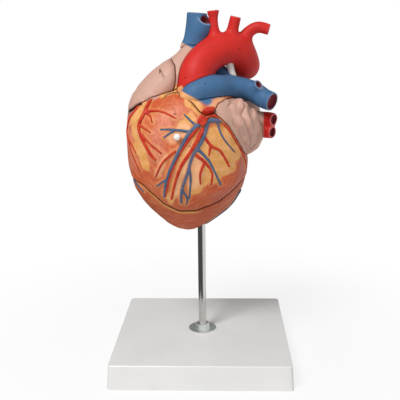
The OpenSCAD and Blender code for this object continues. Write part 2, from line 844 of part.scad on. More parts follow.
// The same on the rear
arteries_behind = [
    [2.4, 1.8, [-72, 100], [-62, 84], [-40, 90], [-16, 84]],
    [2.2, 1.2, [-16, 84], [-14, 60], [-15, 30]],
    [1.6, 1, [-15, 70], [-34, 56], [-42, 40]],
    [2, 1.2, [46, 70], [32, 66], [14, 44]],
    [1.6, 1, [-50, 87], [-56, 66], [-50, 48]],
];
veins_behind = [
    [4.5, 3, [40, 74], [16, 76], [-12, 78], [-30, 84]],
    [2.6, 1.4, [-8, 77], [-7, 52], [-12, 22]],
    [2, 1.2, [24, 75], [24, 54], [8, 26]],
    [2.2, 1.4, [-71, 62], [-56, 42], [-46, 28]],
    [2.2, 1.2, [43, 50], [30, 30], [10, 13]],
];
// Veins in front, below the removable wall
veins_below = [
    [2.6, 1.8, [-72, 63], [-66, 55.5], [-57, 48.5]],
    [3, 2, [43, 45], [31, 28], [18, 16.5], [7, 9]],
];

function relief(branch, face) =
    let (last = len(branch) - 1)
    [for (i = [2 : last])
        let (
            p = on_skin(branch[i].x, branch[i].y, face),
            share = (i - 2) / (last - 2)
        )
        [p.x, p.y, p.z, artery_fullness * (branch[0] + (branch[1] - branch[0]) * share)]];

// Long branches curve, and the finest have fewer sides
module branches(list, face) {
    for (b = list)
        vessel(settle(smooth(relief(b, face), len(b) > 7 ? 2 : 1), face), sides = b[0] > 2.3 ? 5 : 4, steps = 1);
}
// Lays a smooth path back on the skin
function settle(path, face) = [
    for (p = path) let (q = on_skin(p.x, p.z, face)) [q.x, q.y, q.z, p[3]]
];

module front_arteries() {
    color(artery_red)
        one_skin() in_place()
            intersection() {
                difference() {
                    branches(arteries_in_front, -1);
                    heart_outside();
                    branches(veins_in_front, -1);
                }
                wall_space(front_border, -seam / 2);
            }
}
module front_veins() {
    color(vein_blue)
        one_skin() in_place()
            intersection() {
                difference() {
                    branches(veins_in_front, -1);
                    heart_outside();
                }
                wall_space(front_border, -seam / 2);
            }
}
module behind_only() {
    difference() {
        children();
        heart_outside();
        for (border = [front_border, right_border, left_border]) wall_space(border, seam / 2);
        vessel(lower_cava, sides = 12, steps = 2, grow = glue_gap);
        for (v = right_veins) vessel(v, sides = 8, steps = 2, grow = glue_gap);
    }
}
module rear_arteries() {
    color(artery_red)
        one_skin() in_place()
            difference() {
                behind_only() branches(arteries_behind, 1);
                branches(veins_behind, 1);
            }
}
module rear_veins() {
    color(vein_blue)
        one_skin() in_place()
            behind_only() {
                branches(veins_behind, 1);
                branches(veins_below, -1);
            }
}

// ---------------------------------------------------------------- removable walls

knob_place = [-19.7, 105];
hook_place = [-37, -22, 163.5];

module front_wall() {
    color(muscle)
        difference() {
            one_skin() in_place()
                difference() {
                    intersection() {
                        heart_outside();
                        front_space(-seam / 2, 2 * seam);
                    }
                    ventricles_inset(front_wall_thick);
                    pulmonary_form(seam);
                    aorta_form(seam);
                    valve_passage(pulmonary_seat);
                }
            pin_holes(front_pins);
            knob_bore();
        }
}

knob_root = placed(on_skin(knob_place.x, knob_place.y));
knob_depth = 6;
module knob_bore() {
    translate(knob_root + [0, knob_depth, 0])
        rotate([90, 0, 0]) cylinder(h = knob_depth + 8, r = knob_stem_d / 2 + glue_gap, $fn = 32);
}
// A turned knob: a stem and a round head
module pull_knob() {
    head = knob_d / 2;
    neck = knob_depth + knob_reach - 2 * head;
    start = asin(knob_stem_d / knob_d);
    color("white")
        translate(knob_root + [0, knob_depth, 0])
            rotate([90, 0, 0])
                rotate_extrude($fn = 40)
                    polygon(concat(
                        [[0, 0], [knob_stem_d / 2, 0]],
                        [for (a = [start : (180 - start) / 9 : 180.1])
                            [head * max(0, sin(a)), neck + head - head * cos(a)]]
                    ));
}

module atrium_wall(border) {
    difference() {
        intersection() {
            heart_outside();
            wall_space(border, -seam / 2);
        }
        aorta_form(seam);
        pulmonary_form(seam);
        cava_form(seam);
        children();
    }
}

hook_root = placed(hook_place);
hook_depth = 5;
module right_atrium_wall() {
    color(atrium_pink)
        difference() {
            one_skin() in_place()
                atrium_wall(right_border) {
                    right_chamber();
                    ventricles_inset(front_wall_thick);
                }
            pin_holes(right_pins);
            translate(hook_root)
                rotate([90, 0, 0]) translate([0, 0, -hook_depth])
                    cylinder(h = hook_depth + 8, r = hook_wire / 2 + glue_gap, $fn = 16);
        }
}

// A brass cup hook: a straight stem in the wall and an open bend in front of it
module wall_hook() {
    reach = 4;
    color("goldenrod")
        translate(hook_root) {
            rotate([90, 0, 0]) translate([0, 0, -hook_depth])
                cylinder(h = hook_depth + reach, d = hook_wire, $fn = 16);
            translate([0, -reach - hook_bend, 0])
                rotate([0, 90, 0])
                    rotate_extrude(angle = 250, start = 90, $fn = 24)
                        translate([hook_bend, 0]) circle(d = hook_wire, $fn = 12);
        }
}

module left_atrium_wall() {
    color(atrium_pink)
        difference() {
            one_skin() in_place()
                atrium_wall(left_border) {
                    auricle_chamber();
                    left_chamber();
                    left_atrium(atrium_wall_thick);
                    ventricles_inset(front_wall_thick);
                }
            pin_holes(left_pins);
        }
}

base_plate();
support_rod();
base_washer();
rod_nut();
under_washer();
under_nut();
rod_liner();
right_ventricle_body();
left_ventricle_body();
right_atrium_body();
left_atrium_body();
aorta_arch();
pulmonary_trunk();
arterial_ligament();
superior_vena_cava();
inferior_vena_cava();
left_pulmonary_veins();
right_pulmonary_veins();
tricuspid_valve();
mitral_valve();
pulmonary_valve();
aortic_valve();
papillary_muscles();
chordae();
rear_arteries();
rear_veins();
locating_pins();
front_wall();
pull_knob();
front_arteries();
front_veins();
right_atrium_wall();
wall_hook();
left_atrium_wall();
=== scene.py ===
"""Looks of a classroom heart model on a rod and a moulded base.

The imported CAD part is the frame. Its mouldings are modelled again as one smooth skin in a block of
signed distances, parted at the CAD's own seams and painted through soft masks. Sizes are in millimetres
in the CAD's frame until a mesh is made; meshes are in metres. Heights on the heart, and places x, z of
its front view, are measured from the heart's own foot, HEART_Z.
"""

import bpy
import math
import numpy as np
import openvdb as vdb
from bpy.props import FloatProperty, FloatVectorProperty, PointerProperty
from mathutils import Matrix, Vector


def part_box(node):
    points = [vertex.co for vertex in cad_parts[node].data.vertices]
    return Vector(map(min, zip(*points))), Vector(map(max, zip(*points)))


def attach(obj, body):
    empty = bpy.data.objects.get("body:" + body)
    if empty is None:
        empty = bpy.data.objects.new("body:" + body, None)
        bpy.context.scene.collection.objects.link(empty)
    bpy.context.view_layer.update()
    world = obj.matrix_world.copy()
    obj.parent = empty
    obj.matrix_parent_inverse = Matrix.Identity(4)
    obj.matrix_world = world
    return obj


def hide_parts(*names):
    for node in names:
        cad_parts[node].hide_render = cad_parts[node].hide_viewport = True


bl_info = {
    "name": "Heart anatomy model",
    "version": (1, 0, 0),
    "blender": (4, 5, 0),
    "location": "View3D > Sidebar > Heart",
    "description": "Models and paints the skin, vessels, valves and stand of a classroom heart",
    "category": "Add Mesh",
}

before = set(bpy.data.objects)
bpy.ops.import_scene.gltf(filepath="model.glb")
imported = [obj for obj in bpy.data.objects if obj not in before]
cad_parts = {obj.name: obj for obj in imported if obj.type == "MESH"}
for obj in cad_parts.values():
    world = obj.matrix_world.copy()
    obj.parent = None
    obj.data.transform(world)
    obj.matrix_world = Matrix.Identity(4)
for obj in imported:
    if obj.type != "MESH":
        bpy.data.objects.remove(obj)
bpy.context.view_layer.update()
MM = 0.001
# Heights on the heart start a little below its lowest point, as in the CAD source
TIP_HEIGHT = 0.5
HEART_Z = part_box("left_ventricle_body")[0].z / MM - TIP_HEIGHT


# ------------------------------------------------------------------ what a user would change


def rgb(red, green, blue):
    """A paint colour from 0 to 255 as the shader's linear values."""
    levels = (level / 255 for level in (red, green, blue))
    return tuple(level / 12.92 if level <= 0.04 else ((level + 0.055) / 1.055) ** 2.4 for level in levels)


def paint_prop(name, description, red, green, blue):
    return FloatVectorProperty(
        name=name, description=description, subtype="COLOR", size=3, min=0, max=1,
        default=rgb(red, green, blue))


class HeartShape(bpy.types.PropertyGroup):
    step: FloatProperty(
        name="Skin step", description="Size of a cell of the block that the skin is modelled in, in mm",
        default=0.8, min=0.5, max=2)
    relief_step: FloatProperty(
        name="Relief step", description="Size of a cell for the coronary vessels, in mm",
        default=0.5, min=0.3, max=1)
    relief_share: FloatProperty(
        name="Relief width", description="Width of the coronary vessels, as a share of the CAD's",
        default=0.8, min=0.5, max=1)
    softness: FloatProperty(
        name="Softness", description="How far the moulded forms melt together, in mm",
        default=1.9, min=0.5, max=4)
    seam: FloatProperty(
        name="Seam", description="Gap between a removable wall and its neighbours, in mm",
        default=0.44, min=0.3, max=0.8)
    rim: FloatProperty(
        name="Vessel rim", description="Width of the rim round a cut vessel, in mm",
        default=1.8, min=1, max=2.5)
    end_depth: FloatProperty(
        name="Hollow depth", description="Depth of the hollow in a cut vessel, in mm",
        default=4, min=2, max=8)


class HeartPaint(bpy.types.PropertyGroup):
    muscle: paint_prop("Muscle", "Salmon ground of the heart muscle", 212, 120, 76)
    muscle_orange: paint_prop("Muscle, orange", "Orange patches of the heart muscle", 206, 92, 44)
    muscle_pink: paint_prop("Muscle, pink", "Pink patches of the heart muscle", 222, 138, 110)
    muscle_rose: paint_prop("Muscle, rose", "Dull rose paint of the edge on the viewer's right", 184, 108, 88)
    muscle_brown: paint_prop("Muscle, brown", "Darker paint towards the tip", 166, 80, 42)
    fibre_dark: paint_prop("Fibres, dark", "Dark strokes of the muscle fibres", 176, 66, 40)
    fibre_light: paint_prop("Fibres, light", "Light strokes of the muscle fibres", 236, 172, 126)
    fat: paint_prop("Fat", "Golden paint of the fat round the vessels", 224, 162, 88)
    fat_pale: paint_prop("Fat, pale", "Peach paint of the fat between the vessels", 240, 178, 132)
    fat_dark: paint_prop("Fat, dark", "Short dark strokes in the fat", 192, 116, 52)
    atrium: paint_prop("Atrium", "Flesh paint of the atrium walls", 200, 159, 142)
    auricle: paint_prop("Auricle", "Flesh paint of the crinkled auricle", 205, 161, 144)
    blush: paint_prop("Blush", "Pink brush marks on the flesh paint", 202, 142, 124)
    artery: paint_prop("Artery", "Red paint of the great arteries", 203, 39, 32)
    vein: paint_prop("Vein", "Blue paint of the great veins", 66, 106, 146)
    coronary_artery: paint_prop("Coronary artery", "Crimson paint of the heart's own arteries", 184, 34, 26)
    coronary_artery_orange: paint_prop("Coronary artery, orange", "Orange-red paint of the same", 200, 66, 30)
    coronary_vein: paint_prop("Coronary vein", "Slate paint of the heart's own veins", 68, 94, 124)
    coronary_vein_purple: paint_prop("Coronary vein, purple", "Purple-grey paint of the same", 96, 100, 126)
    lumen: paint_prop("Lumen", "Dark red paint inside a cut vessel", 122, 40, 46)
    lining: paint_prop("Lining", "Paint inside the chambers", 202, 116, 98)


class HeartStage(bpy.types.PropertyGroup):
    lens: FloatProperty(
        name="Lens", description="Camera lens in mm on a 36 mm sensor", default=59.36, min=20, max=200)
    key: FloatProperty(
        name="Key light", description="Strength of the main lamp, in watts", default=18, min=0, max=200)
    fill: FloatProperty(
        name="Fill light", description="Strength of the fill lamp, in watts", default=1.5, min=0, max=200)
    sky: FloatProperty(
        name="Sky", description="Strength of the even light from all round", default=0.42, min=0, max=2)


# ------------------------------------------------------------------ shader maths


# Leaves out y: the front view
FRONT_VIEW = (1.0, 0.0, 1.0)
# Streaks in arcs are drawn out along the arc: a larger number makes them shorter
ARC_STRETCH = 6.0
# A mould mark is dark up to the first distance from its middle and gone at the second, in millimetres
MARK_EDGE = (0.5, 1.1)
MARK_COLOUR = (0.03, 0.01, 0.01)
COAT_ROUGHNESS = 0.2


class Value:
    """A socket of a finish. Arithmetic on it adds Math nodes."""

    def __init__(self, finish, socket):
        self.finish = finish
        self.socket = socket

    def maths(self, operation, *values):
        return self.finish.node("ShaderNodeMath", {"operation": operation}, *values)

    def __add__(self, other):
        return self.maths("ADD", self, other)

    def __sub__(self, other):
        return self.maths("SUBTRACT", self, other)

    def __rsub__(self, other):
        return self.maths("SUBTRACT", other, self)

    def __mul__(self, other):
        return self.maths("MULTIPLY", self, other)

    __radd__ = __add__
    __rmul__ = __mul__

    def clamped(self):
        return self.finish.node("ShaderNodeClamp", {}, self)

    def step(self, low, high):
        """0 below low, 1 above high, smooth between."""
        return self.finish.node(
            "ShaderNodeMapRange", {"interpolation_type": "SMOOTHSTEP"},
            Value=self, **{"From Min": low, "From Max": high, "To Min": 0.0, "To Max": 1.0})


class Finish:
    """One material, built node by node."""

    def __init__(self, name, holder=None):
        self.material = holder or bpy.data.materials.new(name)
        self.material.use_nodes = True
        self.tree = self.material.node_tree
        self.tree.nodes.clear()

    def node(self, kind, settings, *values, output=0, **named):
        made = self.tree.nodes.new(kind)
        for key, value in settings.items():
            setattr(made, key, value)
        for place, value in [*enumerate(values), *named.items()]:
            self.feed(made.inputs[place], value)
        return Value(self, made.outputs[output])

    def feed(self, socket, value):
        if isinstance(value, Value):
            self.tree.links.new(value.socket, socket)
        elif hasattr(value, "__len__") and len(value) == 3 and socket.type == "RGBA":
            socket.default_value = (*value, 1.0)
        else:
            socket.default_value = value

    def place(self):
        """Position on the piece at rest, in millimetres."""
        coordinates = self.node("ShaderNodeTexCoord", {}, output="Object")
        return self.node("ShaderNodeVectorMath", {"operation": "SCALE"}, coordinates, Scale=1 / MM)

    def along(self, vector, axis):
        """One number of a place or direction: 0 for x, 1 for y, 2 for z."""
        return self.node("ShaderNodeSeparateXYZ", {}, vector, output=axis)

    def length(self, vector):
        return self.node("ShaderNodeVectorMath", {"operation": "LENGTH"}, vector, output="Value")

    def stretched(self, place, scale):
        """A small scale along an axis draws streaks along it."""
        return self.node("ShaderNodeMapping", {}, place, Scale=scale)

    def swirled(self, place, size, reach):
        """Places pushed about by large soft noise, so that streaks curve."""
        drift = self.node("ShaderNodeTexNoise", {}, Vector=place, Scale=1 / size, Detail=0.0, output="Color")
        drift = self.node("ShaderNodeVectorMath", {"operation": "SUBTRACT"}, drift, (0.5, 0.5, 0.5))
        drift = self.node("ShaderNodeVectorMath", {"operation": "SCALE"}, drift, Scale=reach)
        return self.node("ShaderNodeVectorMath", {"operation": "ADD"}, place, drift)

    def arcs(self, place, centre):
        """Distance and angle round a place x, z of the front view: streaks along it run in arcs."""
        x, z = centre
        offset = self.node("ShaderNodeVectorMath", {"operation": "SUBTRACT"}, place, (x, 0.0, z + HEART_Z))
        offset = self.node("ShaderNodeVectorMath", {"operation": "MULTIPLY"}, offset, FRONT_VIEW)
        across, up = self.along(offset, 0), self.along(offset, 2)
        angle = self.node("ShaderNodeMath", {"operation": "ARCTAN2"}, up, across)
        return self.node("ShaderNodeCombineXYZ", {}, self.length(offset), angle * ARC_STRETCH, 0.0)

    def noise(self, place, size, detail=2.0, roughness=0.5):
        """Smooth noise from 0 to 1 whose patches are about size millimetres across."""
        return self.node(
            "ShaderNodeTexNoise", {}, Vector=place, Scale=1 / size, Detail=detail, Roughness=roughness)

    def mask(self, name):
        return self.node("ShaderNodeAttribute", {"attribute_name": name}, output="Fac")

    def with_marks(self, place, colour):
        """Adds the small dark marks of the mould on the front."""
        front = 1 - self.along(place, 1).step(-1, 1)
        flat = self.node("ShaderNodeVectorMath", {"operation": "MULTIPLY"}, place, FRONT_VIEW)
        for x, z in MOULD_MARKS:
            mark = (x, 0.0, z + HEART_Z)
            away = self.node("ShaderNodeVectorMath", {"operation": "DISTANCE"}, flat, mark, output="Value")
            colour = self.mix((1 - away.step(*MARK_EDGE)) * front * 0.8, colour, MARK_COLOUR)
        return colour

    def mix(self, share, first, second):
        """Colours mixed by a share from 0 to 1."""
        made = self.tree.nodes.new("ShaderNodeMix")
        made.data_type = "RGBA"
        for place, value in ((0, share), (6, first), (7, second)):
            self.feed(made.inputs[place], value)
        return Value(self, made.outputs[2])

    def close(self, shader, kind="ShaderNodeOutputMaterial"):
        """Feeds a shader to the output."""
        out = self.tree.nodes.new(kind)
        self.tree.links.new(shader.socket, out.inputs["Surface"])

    def done(self, colour, roughness, height, depth, metallic=0.0, coat=0.0, specular=0.35):
        """Closes the material. Height times depth is in millimetres."""
        shader = self.tree.nodes.new("ShaderNodeBsdfPrincipled")
        self.feed(shader.inputs["Base Color"], colour)
        self.feed(shader.inputs["Roughness"], roughness)
        shader.inputs["Metallic"].default_value = metallic
        shader.inputs["Coat Weight"].default_value = coat
        shader.inputs["Coat Roughness"].default_value = COAT_ROUGHNESS
        shader.inputs["Specular IOR Level"].default_value = specular
        bump = self.node("ShaderNodeBump", {}, Strength=1.0, Distance=depth * MM, Height=height)
        self.tree.links.new(bump.socket, shader.inputs["Normal"])
        self.close(Value(self, shader.outputs[0]))
        return self.material


# ------------------------------------------------------------------ modelling in a block of distances

# Keeps divisions from failing
TINY = 1e-6
# Farther than any distance in the block, in millimetres
FAR = 1e3
# How far a blur looks, in standard deviations
BLUR_REACH = 2.6


def smooth_max(a, b, blend):
    """The larger of two fields, rounded over where they are within blend of each other."""
    return np.maximum(a, b) + np.maximum(blend - np.abs(a - b), 0.0) ** 2 / (4 * blend)


def smooth_min(a, b, blend):
    return np.minimum(a, b) - np.maximum(blend - np.abs(a - b), 0.0) ** 2 / (4 * blend)


def ease(values, low, high):
    """0 below low, 1 above high, smooth between."""
    t = np.clip((values - low) / (high - low), 0.0, 1.0)
    return t * t * (3 - 2 * t)


def unit(vector):
    vector = np.asarray(vector, float)
    return vector / max(np.linalg.norm(vector), TINY)


def curve_through(points, spacing=1.0, steps=24):
    """A Catmull-Rom curve through rows of numbers, evenly spaced along its first three."""
    points = np.asarray(points, float)
    padded = np.vstack([points[:1], points, points[-1:]])
    t = np.linspace(0, 1, steps, endpoint=False)[:, None]
    dense = []
    for a, b, c, d in zip(padded, padded[1:], padded[2:], padded[3:]):
        square, cube = (2 * a - 5 * b + 4 * c - d) * t**2, (3 * b - a - 3 * c + d) * t**3
        dense.append(0.5 * (2 * b + (c - a) * t + square + cube))
    dense = np.vstack([*dense, points[-1:]])
    along = np.concatenate([[0], np.cumsum(np.linalg.norm(np.diff(dense[:, :3], axis=0), axis=1))])
    places = np.linspace(0, along[-1], max(2, int(along[-1] / spacing) + 1))
    return np.stack([np.interp(places, along, dense[:, i]) for i in range(dense.shape[1])], axis=1)


def open_end(curve):
    """The last place of a tube's curve, and the direction that it points in."""
    return curve[-1, :3], unit(curve[-1, :3] - curve[-2, :3])


def in_place(points):
    """Lifts drawn points to their height on the stand."""
    points = np.array(points, float)
    points[:, 2] += HEART_Z
    return points


class Noise:
    """Smooth random numbers from -1 to 1 over space, the same at every run."""

    side = 32

    def __init__(self, seed):
        drawn = np.random.RandomState(seed).uniform(-1, 1, (self.side,) * 3)
        self.lattice = drawn.astype(np.float32)

    def __call__(self, points, size):
        q = np.asarray(points, np.float32) / size
        cell = np.floor(q).astype(np.int64)
        t = q - cell
        t = t * t * (3 - 2 * t)
        total = 0.0
        for corner in np.ndindex(2, 2, 2):
            weight = 1.0
            for axis, side in enumerate(corner):
                weight = weight * (t[:, axis] if side else 1 - t[:, axis])
            i, j, k = ((cell[:, axis] + side) % self.side for axis, side in enumerate(corner))
            total = total + weight * self.lattice[i, j, k]
        return total


class Block:
    """A box of space in millimetres, filled with distances on a regular grid."""

    def __init__(self, low, high, step, band):
        self.step = step
        self.band = band
        self.start = np.floor(np.asarray(low, float) / step).astype(int)
        self.count = np.ceil(np.asarray(high, float) / step).astype(int) - self.start + 1
        self.axes = [((self.start[i] + np.arange(self.count[i])) * step).astype(np.float32) for i in range(3)]

    def empty(self):
        return np.full(self.count, self.band, np.float32)

    def of_node(self, *names):
        """Distances to CAD nodes, negative inside."""
        points, triangles, total = [], [], 0
        for name in names:
            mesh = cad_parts[name].data
            mesh.calc_loop_triangles()
            corners = np.empty(len(mesh.vertices) * 3, np.float32)
            mesh.vertices.foreach_get("co", corners)
            faces = np.empty(len(mesh.loop_triangles) * 3, np.int32)
            mesh.loop_triangles.foreach_get("vertices", faces)
            points.append(corners.reshape(-1, 3) / MM)
            triangles.append(faces.reshape(-1, 3) + total)
            total += len(mesh.vertices)
        grid = vdb.FloatGrid.createLevelSetFromPolygons(
            np.vstack(points).astype(np.float32), triangles=np.vstack(triangles).astype(np.uint32),
            transform=vdb.createLinearTransform(self.step), halfWidth=self.band / self.step)
        field = np.empty(self.count, np.float32)
        grid.copyToArray(field, ijk=tuple(int(i) for i in self.start))
        return field

    def near(self, centre, reach):
        """Slices of the cells within reach of a point, and their coordinates from it."""
        low = np.clip(np.floor((centre - reach) / self.step).astype(int) - self.start, 0, self.count)
        high = np.clip(np.ceil((centre + reach) / self.step).astype(int) - self.start + 1, 0, self.count)
        cut = tuple(slice(a, b) for a, b in zip(low, high))
        shape = [(-1, 1, 1), (1, -1, 1), (1, 1, -1)]
        return cut, [(self.axes[i][cut[i]] - centre[i]).reshape(shape[i]) for i in range(3)]

    def add_balls(self, field, curve, squash=1.0):
        """Union with a string of balls [x, y, z, r]; squash stretches them along Y."""
        for x, y, z, r in curve:
            cut, (dx, dy, dz) = self.near(np.array([x, y, z]), (r + self.band) * squash)
            dy = dy / squash
            np.minimum(field[cut], np.sqrt(dx * dx + dy * dy + dz * dz) - r, out=field[cut])
        return field

    def add_tube(self, field, route, spacing=1.0, cut_flat=True, rounding=0.7):
        """Union with a tube along [x, y, z, r] whose last end is cut flat."""
        curve = curve_through(route, spacing)
        if not cut_flat:
            return self.add_balls(field, curve)
        tip, out = open_end(curve)
        r = curve[-1, 3]
        from_tip = np.linalg.norm(curve[:, :3] - tip, axis=1)
        self.add_balls(field, curve[from_tip > r])
        longer = [np.append(tip + out * s, r) for s in np.arange(spacing, r + 1, spacing)]
        local = self.empty()
        self.add_balls(local, np.vstack([curve[from_tip <= r], *longer]))
        cut, (dx, dy, dz) = self.near(tip, 2 * r + self.band + 2)
        beyond = dx * out[0] + dy * out[1] + dz * out[2]
        np.minimum(field[cut], smooth_max(local[cut], beyond, rounding), out=field[cut])
        return field

    def add_egg(self, field, centre, radii):
        """Union with an ellipsoid."""
        centre, radii = np.asarray(centre, float), np.asarray(radii, float)
        cut, (dx, dy, dz) = self.near(centre, radii.max() + self.band)
        scaled = np.sqrt((dx / radii[0]) ** 2 + (dy / radii[1]) ** 2 + (dz / radii[2]) ** 2)
        steep = np.sqrt((dx / radii[0] ** 2) ** 2 + (dy / radii[1] ** 2) ** 2 + (dz / radii[2] ** 2) ** 2)
        np.minimum(field[cut], scaled * (scaled - 1) / np.maximum(steep, TINY), out=field[cut])

    def cut_bar(self, field, start, end, radius, blend=0.5):
        """Takes a round bar with flat ends out of a field."""
        start, end = np.asarray(start, float), np.asarray(end, float)
        middle, along = (start + end) / 2, unit(end - start)
        half = np.linalg.norm(end - start) / 2
        cut, offset = self.near(middle, half + radius + self.band)
        h = sum(o * a for o, a in zip(offset, along))
        across = np.sqrt(np.maximum(sum(o * o for o in offset) - h * h, 0))
        bar = np.maximum(across - radius, np.abs(h) - half)
        field[cut] = smooth_max(field[cut], -bar, blend)

    def blurred(self, field, width):
        """Gaussian blur with that standard deviation in millimetres."""
        sigma = width / self.step
        reach = int(math.ceil(BLUR_REACH * sigma))
        weights = np.exp(-0.5 * (np.arange(-reach, reach + 1) / sigma) ** 2)
        weights /= weights.sum()
        for axis in range(3):
            padding = [(reach, reach) if i == axis else (0, 0) for i in range(3)]
            wide = np.pad(field, padding, mode="edge")
            field = np.zeros_like(field)
            for i, weight in enumerate(weights):
                part = [slice(None)] * 3
                part[axis] = slice(i, i + self.count[axis])
                field += np.float32(weight) * wide[tuple(part)]
        return field

    def sample(self, field, points):
        """Values of a field at points, by linear interpolation."""
        q = np.asarray(points, np.float32) / self.step - self.start
        q = np.clip(q, 0, self.count - 1.001)
        cell = q.astype(np.int64)
        t = (q - cell).astype(np.float32)
        total = np.zeros(len(q), np.float32)
        for corner in np.ndindex(2, 2, 2):
            weight = np.ones(len(q), np.float32)
            for axis, side in enumerate(corner):
                weight *= t[:, axis] if side else 1 - t[:, axis]
            total += weight * field[tuple(cell[:, axis] + side for axis, side in enumerate(corner))]
        return total

    def slope(self, field, points):
        """Unit direction in which a field rises fastest."""
        rise = np.stack([
            self.sample(field, points + shift) - self.sample(field, points - shift)
            for shift in np.eye(3, dtype=np.float32) * self.step], axis=1)
        return rise / np.maximum(np.linalg.norm(rise, axis=1, keepdims=True), TINY)

    def moved_to(self, other, field):
        """The same field on another block's grid."""
        x, y, z = (other.axes[i] for i in range(3))
        out = np.empty(other.count, np.float32)
        for i, level in enumerate(x):
            points = np.stack(np.broadcast_arrays(level, y[:, None], z[None, :]), axis=-1).reshape(-1, 3)
            out[i] = self.sample(field, points).reshape(len(y), len(z))
        return out

    def enclosed(self, field, every=3, wall=1.0, spread=0.9):
        """A coarser block, and 1 in the closed hollows of a field there. Thin walls count as thicker."""
        high = (self.start + self.count - 1) * self.step
        rough = Block(self.start * self.step, high, self.step * every, self.band)
        points = np.stack(np.meshgrid(*rough.axes, indexing="ij"), axis=-1).reshape(-1, 3)
        free = self.sample(field, points).reshape(rough.count) > wall
        reached = np.zeros_like(free)
        reached[0] = free[0]
        before = -1
        while reached.sum() != before:
            before = reached.sum()
            for axis in range(3):
                layers, way = np.moveaxis(reached, axis, 0), np.moveaxis(free, axis, 0)
                for i in range(1, len(layers)):
                    layers[i] |= layers[i - 1] & way[i]
                for i in range(len(layers) - 2, -1, -1):
                    layers[i] |= layers[i + 1] & way[i]
        hollow = (free & ~reached).astype(np.float32)
        return rough, rough.blurred(hollow, self.step * every * spread)

    def surface(self, field):
        """Points and quads where a field is zero, without loose crumbs."""
        grid = vdb.FloatGrid(self.band)
        grid.transform = vdb.createLinearTransform(self.step)
        grid.copyFromArray(np.clip(field, -self.band, self.band), ijk=tuple(int(i) for i in self.start))
        points, quads = grid.convertToQuads(0.0)
        points, quads = np.asarray(points, np.float32), np.asarray(quads, np.int64)
        return without_crumbs(points, outward(points, quads))


def outward(points, quads):
    """Turns the faces so that the volume is positive."""
    a, b, c, d = (points[quads[:, i]].astype(np.float64) for i in range(4))
    volume = np.einsum("ij,ij->", a, np.cross(b, c)) + np.einsum("ij,ij->", a, np.cross(c, d))
    return quads if volume > 0 else quads[:, ::-1]


def without_crumbs(points, quads, share=0.02):
    """Keeps the islands of faces that have at least this share of them."""
    label = np.arange(len(points))
    edges = np.vstack([quads[:, [0, 1]], quads[:, [1, 2]], quads[:, [2, 3]]])
    while True:
        low = np.minimum(label[edges[:, 0]], label[edges[:, 1]])
        fresh = label.copy()
        np.minimum.at(fresh, label[edges[:, 0]], low)
        np.minimum.at(fresh, label[edges[:, 1]], low)
        while (fresh[fresh] != fresh).any():
            fresh = fresh[fresh]
        if (fresh == label).all():
            break
        label = fresh
    sizes = np.bincount(label[quads[:, 0]], minlength=len(points))
    keep = sizes[label] >= share * len(quads)
    quads = quads[keep[quads[:, 0]]]
    place = np.cumsum(keep) - 1
    return points[keep], place[quads]


def mesh_piece(name, points, quads, body, slot, material, replaced, masks):
    """A smooth mesh from points in millimetres, riding on a CAD body in place of CAD nodes."""
    mesh = bpy.data.meshes.new(name)
    mesh.from_pydata((np.asarray(points, np.float64) * MM).tolist(), [], np.asarray(quads).tolist())
    mesh.polygons.foreach_set("use_smooth", np.ones(len(mesh.polygons), bool))
    for title, values in masks.items():
        layer = mesh.attributes.new(title, "FLOAT", "POINT")
        layer.data.foreach_set("value", np.asarray(values, np.float32))
    mesh.materials.append(material)
    mesh.validate()
    made = bpy.data.objects.new(name, mesh)
    bpy.context.scene.collection.objects.link(made)
    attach(made, body)
    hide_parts(*replaced)


# ------------------------------------------------------------------ routes, strokes and places on the heart

# The great vessels: x, y, z and the radius
AORTA = [
    (-4, -13, 131, 17), (-5, -15, 149, 17), (-2, -13, 163, 16.25), (8, -5, 176, 15.5), (24, 4, 183.5, 15.5),
    (38, 13, 181, 15.5), (44.5, 24, 169.5, 15), (47, 35, 165, 13.5),
]
ARCH_BRANCHES = [
    [(17, 1, 188, 8), (15, 0, 198, 5), (14, 0, 211, 3.9), (13.2, 0, 220, 6)],
    [(30, 7, 188, 8), (32, 6, 200, 5.6), (35.4, 5, 214.4, 5.4)],
    [(42, 14, 185, 9), (47, 12, 198, 6), (57, 10, 204, 5.4), (68.5, 9, 201.5, 5.2)],
]
PULMONARY = [
    (-9, -25, 133, 11.5), (-5, -27, 140, 12.5), (4, -26, 145, 12.5), (15, -20, 147, 12),
    (28, -8, 147.5, 10.5), (43, -2, 145.5, 10), (55, -1, 140.5, 10), (63, -5, 135.5, 9.5),
    (71, -11, 132.5, 9.2),
]
PULMONARY_UPPER = [(49, -3, 143.5, 7.5), (54, -7.5, 147, 5.4), (57.5, -11, 149.5, 4.8)]
PULMONARY_RIGHT = [(26, 2, 149.5, 10.5), (18, 14, 156.5, 11), (-4, 33, 152, 9), (-28, 45, 147, 8)]
CAVA = [(-8.6, 10, 184.5, 11), (-5.2, 10, 192, 11), (-3.5, 10, 207, 10), (-2.5, 10, 218.4, 10)]
CAVA_SIDE = [(-3, 9, 196, 8.5), (3, 5, 203, 8.6), (6.2, 0.3, 210.6, 6.8)]
LOWER_CAVA = [(-40, 32, 128, 9), (-44, 42, 114, 9.5), (-46, 48, 94, 10)]
LEFT_VEINS = [
    [(52, 14, 114.5, 7.25), (64, 10, 114.5, 6.6), (69, 7.5, 114.3, 6.5), (74, 3.5, 113.7, 6.2)],
    [(52, 17, 101.5, 7.25), (63, 12, 101.3, 6.6), (68, 9.5, 101, 6.5), (73, 5.5, 100.6, 6.2)],
]
RIGHT_VEINS = [
    [(-4, 40, 123, 6.25), (-16, 46, 125, 6.25), (-27, 52, 126, 6.25)],
    [(-4, 42, 107, 6.25), (-16, 48, 106, 6.25), (-27, 54, 104, 6.25)],
]
LIGAMENT = [(28.5, 3, 172, 4.6), (31, 1, 162, 3.6), (34, -1, 151, 4.8)]
